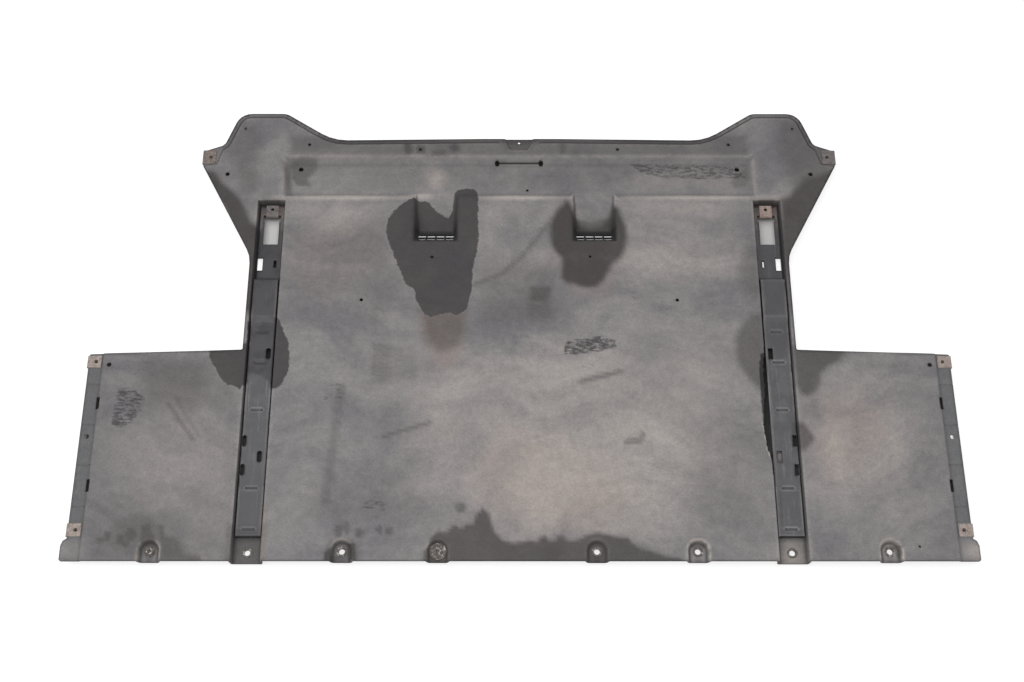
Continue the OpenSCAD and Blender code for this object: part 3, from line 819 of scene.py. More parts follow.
    def _points(self, face: Face) -> Array:
        """Loose points of a face: an even grid, and close rows where a pressing bends.

        Args:
            face: Which face.

        Returns:
            The plan points.
        """
        step, rail = self.mesh_step, self.rail_x
        ends, trough, scoop, channel, channel_end, strip = (self._stops(corners, face) for corners in (
            self.trough_ends, self.trough_line, self.scoop_line, self.channel_line, self.channel_end,
            self.strip_line))
        half, (front, rear) = self.trough_half_w + 20, self.trough
        patches = [(rows(-half, half, step, ends), rows(front - 22, rear + 17, 5.0, trough))]
        half, low, high = self.scoop_w / 2 + 8, self.scoop_head_y - 10, front + 42
        for middle in self.scoop_xs:
            walls = self._stops(self._scoop_walls(middle), face)
            patches.append((rows(middle - half, middle + half, 3.2, walls),
                            rows(low, high, 3.4, scoop, trough)))
        grooves = np.add.outer(self.crease_ys, (-1.9, -1.0, 1.0, 1.9)).ravel()
        half, tip = self.channel_half_w + 6.5, self.ear_half_w
        for side in (-1, 1):
            low, high = side * rail - half, side * rail + half
            patches += [
                (rows(low, high, step, side * rail + channel),
                 rows(2, self.channel_end_y + 7, step, channel_end)),
                (np.sort(side * rows(self.strip_x - 6, self.corner_half_w - 3, 4.4, strip)),
                 rows(2, self.wing_l + 6, step, grooves)),
                (np.sort(side * rows(tip - 40, tip + 1, 2.0)),
                 rows(self.ear_tip_y - 6, self.ear_tab_y + 16, 2.2))]
        patches += [(rows(*self.sag_box[0], 1.8), rows(*self.sag_box[1], 2.3)),
                    (rows(-36, 36, 2.6), rows(self.lip_y - 35, self.lip_y + 3, 2.6))]
        base = scatter(crossings(np.arange(-747, 748, step), np.arange(3, 847, step)), patches)
        rim_box = (np.abs(depth_inside(base, self.outline) - self.rim_w) < 3.2) & (self._rim_zone(base) > 0)
        bolts = np.hypot(base[:, :1] - np.array(self.pocket_xs), base[:, 1:] - self.bolt_y)
        pockets = [self._pocket_rows(middle, face) for middle in self.pocket_xs]
        return np.concatenate([base[~rim_box & (np.min(bolts, axis=1) >= 26)], self._rim_rows(face), *pockets])

    def _rim_rows(self, face: Face) -> Array:
        """Rows of points along both sides of the rim's step, set square to the outline.

        Args:
            face: Which face.

        Returns:
            The plan points.
        """
        step = self.rim_w + self._under(face)
        fine = divided(self.outline, 4.0)
        d = np.roll(fine, -1, axis=0) - np.roll(fine, 1, axis=0)
        inward = np.stack([-d[:, 1], d[:, 0]], 1) / np.linalg.norm(d, axis=1)[:, None]
        p = np.concatenate([fine + inward * (step + off) for off in (-2.4, -0.8, 0.0, 0.8, 2.4)])
        near = np.abs(depth_inside(p, self.outline) - step) < 2.6
        beside_notch = (np.abs(p[:, 0]) > 37) | (p[:, 1] < 755)
        return p[(self._rim_zone(p) > 0) & near & beside_notch]

    def _pocket_rows(self, middle: float, face: Face) -> Array:
        """Rows of points round a pocket: half rings behind its hole and straight rows in front of it.

        Args:
            middle: Its x.
            face: Which face.

        Returns:
            The plan points.
        """
        radii = self.pocket_w / 2 - self._stops(self.pocket_line, face)
        radii = rows(8.5, 25, 3.0, radii[radii > 9])
        turn = np.linspace(0, np.pi, 25)
        rings = np.stack([np.outer(radii, np.cos(turn)), self.bolt_y + np.outer(radii, np.sin(turn))], -1)
        straight = crossings(np.concatenate([-radii, radii]), np.linspace(2, self.bolt_y - 3, 5))
        return np.concatenate([rings.reshape(-1, 2), straight]) + [middle, 0]

    def _marks(self, p: Array, face: Face) -> dict[str, Array]:
        """Dirt, wear and painted shade of a face's vertices. See Dirt for what each kind of dirt means.

        Args:
            p: Plan points.
            face: Which face.

        Returns:
            For each kind, one value for each point.
        """
        found = DIRT.marks(p)
        x, y = np.abs(p[:, 0]), p[:, 1]
        bend = bent(lambda q: self.height(q, face), p, 2.5)
        found["ridge"] = np.clip(-bend, 0, 1.5) * (1 - 0.85 * self._in_channel(p)) * smooth(x, 680, 660)
        # Groove, where the surface bends into a hollow, is darkened by the finish as painted shade.
        found["groove"] = np.clip(bend, 0, 1.5)
        # Painted shade: the rail channels darken with depth, less near the front edge, and join the black
        # painted round the louvres, on the scoop walls, in the gap beside the right rail and along the rim.
        deep = smooth(-self.height(p, face), 0.3, 5.0)
        gutter = self._in_channel(p) * deep * (0.3 + 0.62 * smooth(y, 34, 50))
        found["gutter"] = np.maximum.reduce([gutter, self._grille(p), self._sag_shade(p), self._rim_shade(p)])
        # The painted shade is lifted under the right rail's inner slot, where a pale patch is painted as the
        # bright floor seen through it.
        found["gutter"] *= 1 - bell(p, *self.painted_slot_light, 10, 17)
        found["strip"] = smooth(x, self.strip_x - 1, self.strip_x + 3) * smooth(y, 24, 48)
        if face is Face.ENGINE:
            found["wet"] = np.full(len(p), -40.0)
            found.update({key: np.zeros(len(p)) for key in ("damp", "dab", "scuff", "tan", "pale")})
        return found

    def _in_channel(self, p: Array) -> Array:
        """How far a plan point lies in or beside a rail channel, from 0 to 1."""
        side = np.abs(np.abs(p[:, 0]) - self.rail_x) - self.channel_half_w
        return smooth(np.maximum(side, p[:, 1] - self.channel_end_y), 4.0, 1.5)

    def _grille(self, p: Array) -> Array:
        """The black of dirt and painted shade round the louvres and on the scoops' side walls, from 0 to 1.

        Args:
            p: Plan points.

        Returns:
            One value for each point.
        """
        off = np.min(np.abs(p[:, :1] - np.array(self.scoop_xs)), axis=1)
        y, half = p[:, 1] - self.scoop_head_y, self.scoop_w / 2
        band = smooth(np.minimum(y - 1, self.scoop_face_run + 5 - y), -1.5, 2.5) * smooth(off, 41, 36)
        wall = smooth(off, half - 15, half - 5) * smooth(off, half + 2, half - 2)
        return np.maximum(band, 0.6 * wall * smooth(y, 0, 6) * smooth(y, 62, 30))

    def _sag_shade(self, p: Array) -> Array:
        """The black of the shade painted in the gap that has opened beside the right rail, ragged towards the
        panel, from 0 to 1.
        """
        gap = np.array([[426, 368], [414, 364], [411, 336], [411, 300], [410, 262], [411, 236], [413, 214],
                        [418, 192], [421, 160], [426, 150]], float)
        return 0.93 * smooth(depth_inside(p, gap) + 1.6 * drift(p, *self.shade_wave), -0.6, 1.4)

    def _rim_shade(self, p: Array) -> Array:
        """Painted shade at the foot of the rim's step, on the rim, round the tabs and at the edge, from 0 to 1.

        Args:
            p: Plan points.

        Returns:
            One value for each point.
        """
        x, y = np.abs(p[:, 0]), p[:, 1]
        edge, zone = depth_inside(p, self.outline), self._rim_zone(p)
        foot = 0.85 * smooth(np.abs(edge - self.rim_w), 2.0, 0.6) * zone
        tab = 0.6 * smooth(np.abs(self._in_tab(p)), 1.8, 0.5)
        outer = smooth(edge, 2.8, 1.0) * np.where(y > 700, 0.9, 0.5)
        step = smooth(edge, self.rim_w, self.rim_w - 1.5) * zone * np.where((x < 370) & (y > 780), 0.4, 0.16)
        return np.maximum.reduce([foot, tab, outer, step])

    def build(self, finish: "Finish") -> bpy.types.Object:
        """Makes the tray's mesh and dresses it.

        Args:
            finish: Finish of the sheet.

        Returns:
            The tray, standing for the solid of the same name.
        """
        sheet = PressedSheet("tray_sheet", self._loops(), self._points, self.height, self._marks)
        return settle(sheet.build(), "tray", finish)


Blot = tuple[float, float, tuple[float, ...]]


@dataclass(frozen=True)
class Dirt:
    """Where dirt lies on the road side.

    A patch of it, a Blot, is a strength, a softness and a loop. The loop is x and y in turn in plan
    millimetres, and one of four numbers is a box between two corners. Each kind is worked out once for each
    vertex, as a smooth value, and the finish breaks its border up.

    Attributes:
        wet: Crisp damp stains. Their value is the signed distance to their loops in millimetres.
        damp: Soft dark veils, from 0 to 1.
        scuff: Where dark scuffs are scattered, from 0 to 1.
        tan: Where brown clay or rust has bled, from 0 to 1.
        pale: Heaps of pale dust, each an x, a y, two half widths and a strength. The one at 437, 188 is
            painted light instead: the bright floor seen through the rail slot over it.
        dabs: Small dark finger marks, each an x, a y and two half widths.
    """

    wet: tuple[Blot, ...]
    damp: tuple[Blot, ...]
    scuff: tuple[Blot, ...]
    tan: tuple[Blot, ...]
    pale: tuple[tuple[float, float, float, float, float], ...]
    dabs: tuple[tuple[float, float, float, float], ...]

    @staticmethod
    def _reach(p: Array, loop: tuple[float, ...], far: float) -> Array:
        """Signed distance to a patch's loop, worked out within far of it.

        Args:
            p: Plan points.
            loop: The patch's loop.
            far: The distance.

        Returns:
            One distance for each point.
        """
        if len(loop) == 4:
            x0, y0, x1, y1 = loop
            loop = (x0, y0, x1, y0, x1, y1, x0, y1)
        return depth_inside(p, np.reshape(loop, (-1, 2)).astype(float), far)

    def _spread(self, p: Array, blots: tuple[Blot, ...]) -> Array:
        """Strength of soft patches: each fades by a smooth step of its distance, and they add as veils.

        Args:
            p: Plan points.
            blots: The patches.

        Returns:
            One strength for each point, from 0 to 1.
        """
        clear = np.ones(len(p))
        for strength, soft, loop in blots:
            clear *= 1 - strength * smooth(self._reach(p, loop, 45.0), -soft, soft)
        return 1 - clear

    def marks(self, p: Array) -> dict[str, Array]:
        """Values of every kind of dirt at plan points.

        Args:
            p: Plan points.

        Returns:
            For each kind, one value for each point.
        """
        found = {key: self._spread(p, getattr(self, key)) for key in ("damp", "scuff", "tan")}
        found["wet"] = np.max([self._reach(p, loop, 40.0) for _, _, loop in self.wet], axis=0)
        found["pale"] = sum(strength * bell(p, *place) for *place, strength in self.pale)
        found["dab"] = np.max([smooth(np.hypot((p[:, 0] - x) / a, (p[:, 1] - y) / b), 1.25, 0.7)
                               for x, y, a, b in self.dabs], axis=0)
        return found


DIRT = Dirt(
    wet=(
        (1.0, 12.0, (-197, 668, -190, 672, -177, 668, -166, 670, -159, 662, -152, 652, -141, 646, -128, 640,
         -121, 652, -118, 683, -110, 691, -96, 695, -83, 693, -76, 685, -74, 666, -74, 636, -72, 585, -76, 555,
         -81, 541, -83, 506, -84, 483, -89, 465, -91, 452, -100, 442, -110, 436, -121, 442, -138, 440, -154,
         433, -166, 440, -175, 456, -183, 471, -183, 488, -192, 492, -201, 500, -208, 518, -218, 541, -227, 565,
         -235, 585, -239, 607, -234, 629, -226, 644, -215, 654, -206, 662)),
        (1.0, 12.0, (-428, 438, -419, 429, -409, 408, -401, 387, -396, 363, -395, 340, -401, 320, -408, 305,
         -417, 298, -425, 302, -442, 327, -460, 331, -467, 316, -476, 298, -487, 305, -499, 307, -508, 315,
         -516, 327, -526, 342, -532, 353, -538, 380, -471, 384, -474, 425, -455, 421, -435, 429)),
    ),
    damp=(
        (1.0, 7, (78, 656, 85, 666, 92, 660, 99, 642, 111, 627, 129, 623, 147, 625, 160, 636, 170, 660, 179,
         650, 183, 634, 190, 615, 193, 591, 188, 565, 180, 549, 166, 537, 158, 522, 149, 504, 136, 492, 122,
         490, 108, 492, 96, 498, 83, 500, 73, 510, 75, 530, 75, 549, 67, 557, 58, 573, 55, 593, 55, 611, 59,
         629, 67, 644)),
        (0.6, 15, (-172, 456, -93, 456, -93, 410, -103, 381, -123, 368, -144, 368, -162, 387, -171, 414)),
        (0.62, 8, (425, 444, 403, 436, 386, 419, 376, 395, 373, 374, 375, 353, 382, 335, 393, 316, 406, 304,
         420, 296, 427, 335, 426, 372, 429, 410)),
        (0.72, 6, (471, 378, 571, 378, 549, 352, 527, 339, 516, 327, 514, 311, 504, 294, 491, 285, 478, 293,
         473, 309, 472, 339)),
        (0.7, 5, (460, 244, 480, 238, 488, 226, 496, 211, 490, 201, 480, 192, 474, 185, 460, 208)),
        (0.5, 9, (434, 433, 469, 433, 469, 381, 457, 368, 433, 368, 429, 391)),
        (0.95, 7, (-554, 724, -538, 699, -519, 683, -503, 666, -491, 642, -482, 621, -471, 613, -428, 575, -428,
         505, -472, 440, -500, 467, -500, 540, -510, 600, -530, 650, -560, 691, -585, 728)),
        (0.34, 16, (-537, 839, -514, 835, -472, 813, -470, 770, -478, 728, -465, 697, -486, 676, -515, 707,
         -523, 749, -536, 770)),
        (0.9, 9, (545, 716, 520, 712, 504, 695, 488, 674, 472, 666, 468, 615, 466, 565, 470, 516, 474, 440, 500,
         467, 500, 526, 505, 557, 520, 585, 540, 621, 560, 662, 585, 703, 590, 724, 566, 724)),
        (0.4, 14, (414, 585, 398, 561, 388, 526, 393, 487, 409, 467, 427, 475, 434, 565)),
        (0.85, 8, (-469, 380, -425, 612)), (0.3, 20, (-470, 40, -425, 150)), (0.5, 8, (425, 436, 469, 612)),
        (0.82, 4, (-159, -16, -157, 15, -149, 27, -146, 39, -133, 50, -123, 47, -114, 55, -107, 62, -97, 54,
         -87, 62, -78, 61, -71, 79, -61, 89, -51, 79, -46, 62, -40, 47, -28, 34, -10, 30, 14, 34, 29, 32, 32,
         40, 42, 42, 47, 34, 57, 35, 60, 42, 73, 42, 76, 34, 93, 35, 106, 42, 126, 47, 142, 45, 158, 40, 178,
         39, 184, 29, 197, 20, 213, 17, 235, 9, 264, 4, 274, -16)),
        (0.55, 4, (-593, 60, -585, 60, -578, 39, -566, 42, -555, 30, -550, 14, -540, 9, -517, 9, -516, -13,
         -588, -13, -584, 22)),
        (0.34, 8, (-668, 62, -640, 74, -612, 78, -590, 60, -592, 22, -628, 10, -668, 26)),
        (0.45, 7, (-480, -16, -418, 60)),
        (0.55, 3, (-417, 751, -399, 756, -368, 754, -371, 741, -376, 728, -386, 716, -382, 701, -403, 699, -415,
         716)),
        (0.45, 4, (403, 733, 416, 737, 420, 716, 413, 699, 395, 695, 385, 707, 393, 722)),
        (0.8, 3, (-211, 785, -198, 783, -194, 766, -205, 758, -212, 770)),
        (0.7, 3, (-190, 780, -173, 780, -172, 764, -188, 763)),
        (0.75, 3, (-130, 777, -119, 784, -108, 779, -111, 768, -120, 764)),
        (0.5, 3, (-161, 769, -135, 770, -135, 758, -159, 757)),
        (0.5, 4, (73, 781, 82, 785, 88, 775, 84, 760, 74, 762)),
        (0.4, 3, (100, 770, 109, 768, 109, 760, 100, 760)), (0.45, 4, (-36, 800, 36, 800, 22, 772, -22, 772)),
        (0.55, 4, (19, 493, 56, 493, 55, 474, 42, 466, 20, 466)),
        (0.28, 5, (13, 480, 54, 472, 56, 432, 14, 432)),
        (0.32, 5, (-255, 384, -224, 384, -221, 311, -253, 311)),
        (0.15, 6, (-224, 381, -179, 381, -177, 315, -221, 311)),
        (0.3, 4, (-311, 309, -296, 309, -314, 97, -329, 97)),
        (0.5, 3, (-232, 210, -149, 236, -149, 243, -232, 217)),
        (0.55, 3, (100, 308, 177, 329, 177, 336, 102, 316)),
        (0.55, 3, (175, 200, 207, 202, 212, 221, 205, 224, 202, 210, 175, 207)),
        (0.42, 3, (-82, 492, -31, 513, 6, 546, 33, 582, 57, 619, 51, 623, 27, 588, 0, 552, -35, 519, -84, 498)),
        (0.5, 4, (-434, 745, -423, 745, -410, 676, -421, 676)),
        (0.38, 25, (-650, 352, -540, 352, -530, 285, -560, 262, -640, 270)), (0.15, 10, (-740, 0, -480, 350)),
        (0.12, 30, (-420, 420, -240, 620)), (0.14, 30, (290, 40, 420, 240)),
        (0.6, 5, (98, 640, 130, 634, 168, 643, 172, 598, 98, 598)),
        (0.9, 2, (-283, 31, -269, 29, -266, 0, -280, 2)), (0.85, 2, (-319, 14, -309, 22, -304, 0, -317, -4)),
        (0.4, 3, (-602, 274, -596, 277, -544, 206, -550, 202)),
        (0.25, 3, (-588, 282, -582, 285, -534, 212, -540, 209)),
        (0.3, 25, (-80, 540, 60, 540, 70, 420, -70, 410)),
        (0.46, 20, (480, 835, 560, 835, 590, 770, 570, 700, 500, 700, 470, 760)),
        (0.4, 4, (-312, 32, -298, 38, -272, 36, -262, 22, -262, 2, -320, 2)), (0.3, 3, (-330, 798, 330, 812)),
        (0.7, 3, (-462, 640, -432, 666)), (0.8, 3, (432, 640, 462, 666)),
        (0.16, 18, (-265, 595, -240, 593, -225, 541, -210, 502, -216, 467, -243, 429, -256, 410, -268, 467,
         -267, 541)),
        (0.14, 20, (-366, 103, -284, 138, -201, 155, -151, 103, -166, 69, -265, 61, -364, 69)),
        (0.14, 22, (-705, 103, -647, 103, -545, 69, -476, 27, -523, 2, -702, 2)),
        (0.46, 8, (-420, 757, 420, 800)), (0.16, 16, (-300, 700, 390, 742)),
    ),
    scuff=(
        (0.9, 5, (-687, 302, -656, 302, -637, 283, -642, 258, -656, 229, -680, 229, -691, 262)),
        (0.5, 3, (-700, 354, -560, 354, -560, 344, -700, 342)),
        (0.6, 3, (-678, 334, -646, 330, -646, 322, -678, 326)),
        (0.9, 3, (-692, 252, -668, 250, -670, 228, -690, 230)),
        (1.0, 4, (73, 368, 81, 391, 123, 397, 140, 402, 169, 391, 170, 374, 139, 368, 104, 361, 75, 361)),
        (0.42, 5, (97, 353, 180, 353, 179, 324, 137, 313, 98, 313)),
        (0.6, 5, (-338, 312, -293, 312, -291, 273, -336, 273)),
        (0.4, 6, (-257, 388, -224, 384, -179, 372, -179, 325, -253, 309)),
        (0.42, 5, (-171, 360, -85, 354, -85, 335, -171, 338)),
        (0.4, 6, (-240, 273, -215, 273, -212, 196, -238, 196)),
        (0.5, 4, (-196, 199, -162, 193, -162, 183, -196, 187)),
        (0.85, 4, (199, 749, 261, 747, 334, 747, 404, 743, 420, 712, 383, 716, 332, 712, 267, 716, 223, 728)),
        (0.5, 5, (184, 510, 205, 506, 216, 449, 196, 447)),
        (0.5, 5, (232, 478, 242, 482, 254, 470, 266, 442, 240, 438)),
        (0.6, 3, (174, 206, 188, 219, 206, 224, 210, 215, 191, 203)),
        (0.7, 4, (-262, 104, -219, 100, -217, 80, -262, 84)),
        (0.45, 6, (-250, 130, -225, 130, -223, 96, -250, 96)),
        (0.5, 5, (-204, 742, -186, 742, -186, 716, -240, 722)),
        (0.25, 10, (-20, 628, 70, 632, 70, 600, -20, 604)), (0.4, 10, (60, 745, 130, 742, 120, 700, 50, 706)),
    ),
    tan=(
        (0.5, 34, (-34, 226, 67, 208, 166, 155, 197, 103, 129, 52, 31, 55, -35, 78, -84, 138)),
        (0.45, 30, (503, 280, 563, 289, 611, 262, 622, 208, 583, 155, 515, 138, 489, 190)),
        (0.35, 34, (-404, 600, -323, 620, -250, 610, -246, 545, -332, 467, -385, 487, -409, 545)),
        (0.8, 3, (-424, 100, -418, 100, -416, 10, -424, 10)), (0.9, 6, (-469, 636, -425, 664)),
        (1.0, 6, (425, 628, 469, 664)),
        (0.75, 12, (-172, 456, -93, 456, -103, 350, -123, 340, -144, 340, -171, 414)),
        (0.8, 4, (-430, 100, -419, 60, -416, 0, -424, 0)), (0.35, 12, (60, 560, 190, 560, 160, 470, 90, 470)),
    ),
    pale=(
        (70, 150, 190, 110, 0.95), (230, 240, 150, 120, 0.35), (-560, 190, 90, 130, 0.35),
        (585, 190, 90, 120, 0.45), (200, 560, 170, 60, 0.35), (0, 640, 90, 26, 0.3), (-330, 630, 90, 30, 0.45),
        (-150, 260, 60, 90, 0.35), (-150, 716, 18, 22, 0.8), (300, 650, 150, 18, 0.35), (-15, 560, 60, 50, 0.2),
        (40, 330, 220, 50, 0.4), (-370, 760, 70, 14, 0.3), (-320, 672, 100, 5, 1.5), (330, 672, 110, 5, 1.4),
        (0, 672, 66, 5, 1.5), (-182, 678, 22, 5, 0.9), (447, 20, 22, 24, 1.2), (300, 716, 120, 20, 0.35),
        # The heap at 437, 188 is painted light: a pale patch under the right rail's inner slot, for the bright
        # floor seen through it.
        (437, 188, 8, 14, 1.0), (745, 16, 24, 20, 0.9), (605, 22, 14, 16, 0.5), (292, 14, 14, 12, 0.3),
        (528, 200, 16, 70, 0.38), (634, 190, 14, 50, 0.25), (300, 560, 80, 60, 0.3), (330, 380, 120, 60, 0.2),
    ),
    dabs=(
        (-685, 35, 6, 6), (-674, 40, 7, 10), (-653, 35, 7, 8), (-636, 44, 10, 11), (-643, 29, 8, 6),
        (-612, 52, 9, 10), (-608, 35, 12, 15), (-297, 50, 8, 11), (-283, 55, 6, 11), (-263, 45, 8, 9),
        (-230, 52, 5, 7), (-214, 50, 7, 8), (-97, 89, 9, 9), (-275, 14, 7, 9), (-302, 5, 7, 6),
        (292, 27, 14, 4), (611, 24, 14, 4), (619, 15, 4, 8),
    ),
)


def coated(tree: bpy.types.NodeTree, base: Input, coats: list[tuple[Input, Input | None]]) -> Input:
    """Lays coats over a base colour.

    Args:
        tree: The node tree.
        base: The lowest colour.
        coats: From the bottom up, how much of each coat shows and its colour. One without a colour
            multiplies what lies under it.

    Returns:
        The colour on top.
    """
    for share, colour in coats:
        if colour is None:
            base = node(tree, "VectorMath", {0: base, "Scale": share}, operation="SCALE")
        else:
            base = node(tree, "Mix", {0: share, 6: base, 7: colour}, 2, data_type="RGBA")
    return base


def surfaced(tree: bpy.types.NodeTree, relief: Input, depth: float, strength: float,
             sockets: dict[str, Input]) -> None:
    """Ends a material with a surface whose relief is bumped by up to depth metres.

    Args:
        tree: Its node tree.
        relief: Height of the relief, from 0 to 1.
        depth: The greatest depth in metres.
        strength: Strength of the bump.
        sockets: Other inputs of the surface.
    """
    bump = node(tree, "Bump", {"Strength": strength, "Distance": depth, "Height": relief})
    shader = node(tree, "BsdfPrincipled", {**sockets, "Normal": bump})
    node(tree, "OutputMaterial", {"Surface": shader})


@dataclass(frozen=True)
class Finish:
    """What one material is made of. Each finish builds its own nodes."""

    def material(self) -> bpy.types.Material:
        """Makes the material."""
        raise NotImplementedError


@dataclass(frozen=True)
class MouldedMatNylon(Finish):
    """Glass-mat reinforced nylon, pressed hot in a mould, after years under a car.

    The bare sheet is dark grey and dull. Road dust in two tones lies over it in wiped swirls, oil damp has
    darkened patches with ragged borders, and scuffs have left near-black dashes. The fibre mat shows as a
    fine speckle. Shade is painted dark into its hollows, and black into its rail channels, round the louvres,
    on the scoops' walls, in the gap beside the right rail and along the rim.
    """

    dusty: str = "#7b7878"
    shaded: str = "#6b696b"
    powder: str = "#a39c97"
    clay: str = "#8a7a72"
    damp: str = "#423e3e"
    wet: str = "#3a383a"
    crust: str = "#8d8884"
    scuffed: str = "#333236"
    # Black of the painted shade.
    black: str = "#232223"
    strip: str = "#5a5c5e"
    fibre_mm: float = 2.4
    bend_mm: float = 420.0
    swirl_mm: float = 120.0
    cloud_mm: float = 60.0
    stroke_mm: float = 9.0
    mottle_mm: float = 16.0
    ragged_mm: float = 9.0
    dash_mm: float = 4.6

    def material(self) -> bpy.types.Material:
        """Builds the dusty, stained sheet from its object coordinates and its vertices' dirt values."""
        material, t = blank_material("moulded_glass_mat_nylon")
        at = node(t, "TexCoord", output="Object")
        got = {key: node(t, "Attribute", output="Fac", attribute_name=key)
               for key in ("wet", "damp", "dab", "scuff", "tan", "pale", "ridge", "groove", "gutter", "strip")}
        # Slow noise bends the coordinates, so that swirls and strokes run in arcs. Each row is where from, a
        # turn, and a squeeze in x and in y: wiped swirls, wiping strokes across the shield and scuff dashes.
        slow = node(t, "TexNoise", {"Vector": at, "Scale": 1000 / self.bend_mm, "Detail": 2.0}, "Color")
        bowed = node(t, "Mix", {0: 0.32, 4: at, 5: slow}, 1, data_type="VECTOR")
        swirled, wiped_at, dashed = (
            node(t, "Mapping", {"Vector": place, "Rotation": (0, 0, turn), "Scale": (*squeeze, 1.0)})
            for place, turn, squeeze in (
                (bowed, 0.75, (1.0, 2.6)), (bowed, 0.12, (0.12, 1.0)), (at, 0.0, (0.36, 1.0))))
        swirl, cloud, stroke, mottle, fibre, ragged, speck = (
            node(t, "TexNoise", {"Vector": place, "Scale": 1000 / size, "Detail": detail, "Roughness": rough})
            for place, size, detail, rough in (
                (swirled, self.swirl_mm, 3.0, 0.5), (at, self.cloud_mm, 6.0, 0.65),
                (wiped_at, self.stroke_mm, 5.0, 0.65), (at, self.mottle_mm, 6.0, 0.75),
                (at, self.fibre_mm, 3.0, 0.7), (at, self.ragged_mm, 5.0, 0.7),
                (dashed, self.dash_mm, 5.0, 0.75)))
        # Each row is a value, its low and high ends, and what these become, which is 0 and 1 if not said.
        thin, heap, wiped, spotted, edging, worn, veil, push, brown, soaked, grain = (
            node(t, "MapRange", ends) for ends in (
                (swirl, 0.3, 0.7, 0.62, 1.06), (cloud, 0.42, 0.72, -0.06, 0.15), (stroke, 0.3, 0.7, 0.95, 1.05),
                (mottle, 0.3, 0.7, 0.86, 1.12), (mottle, 0.35, 0.65, 0.35, 0.95),
                (stroke, 0.35, 0.65, 0.15, 0.8), (cloud, 0.3, 0.7, 0.9, 1.1), (ragged, 0.25, 0.75, -2.6, 2.6),
                (cloud, 0.4, 0.65), (mottle, 0.3, 0.7, 0.9, 1.08), (fibre, 0.25, 0.75, 0.82, 1.18)))
        # Road dust is strongest where it was drawn, thinned by the swirls and heaped by small clouds.
        powder = node(t, "Math", (got["pale"], thin, heap), operation="MULTIPLY_ADD", use_clamp=True)
        # Wet oil has a border a millimetre or two wide, pushed in and out by fine noise, and the faintest
        # pale crust just outside it.
        reach = node(t, "Math", (got["wet"], push), operation="ADD")
        crust = node(t, "MapRange", (reach, -5.0, -1.5, 0.0, 0.08))
        lift, wet = (node(t, "MapRange", ends, interpolation_type="SMOOTHSTEP")
                     for ends in ((swirl, 0.34, 0.66), (reach, -1.2, 1.4)))
        oil = coated(t, self.wet, [(brown, self.damp), (soaked, None)])
        # Scuffs are dashes that fill in as the drawn strength rises: the dashes' noise less its threshold.
        speck = node(t, "Mix", {0: 0.3, 2: speck, 3: mottle})
        floor = node(t, "Math", (got["scuff"], -0.18, 0.61), operation="MULTIPLY_ADD")
        above = node(t, "Math", (speck, floor), operation="SUBTRACT")
        fleck = node(t, "MapRange", (above, -0.01, 0.1, 0.0, 0.85))
        # The groove value paints shade into the sheet's hollows.
        wiped, clay, edging, worn, hollow_shade, veil, dab, fleck = (
            node(t, "Math", pair, operation="MULTIPLY") for pair in (
                (wiped, spotted), (got["tan"], cloud), (got["strip"], edging), (got["ridge"], worn),
                (got["groove"], 0.4), (got["damp"], veil), (got["dab"], 0.55), (got["scuff"], fleck)))
        # Near the top lie the shade painted in the hollows and the black painted as shade in channels, louvres
        # and rim.
        colour = coated(t, self.shaded, [
            (lift, self.dusty), (powder, self.powder), (clay, self.clay), (wiped, None), (edging, self.strip),
            (worn, self.powder), (hollow_shade, self.damp), (veil, self.damp), (crust, self.crust), (wet, oil),
            (dab, self.damp), (fleck, self.scuffed), (got["gutter"], self.black), (grain, None)])
        rough = node(t, "MapRange", (wet, 0.0, 1.0, 0.92, 0.74))
        relief = node(t, "Math", (fibre, 0.35, cloud), operation="MULTIPLY_ADD")
        surfaced(t, relief, 0.0006, 0.35, {"Base Color": colour, "Roughness": rough, "IOR": 1.5,
                                           "Specular IOR Level": 0.3})
        return material


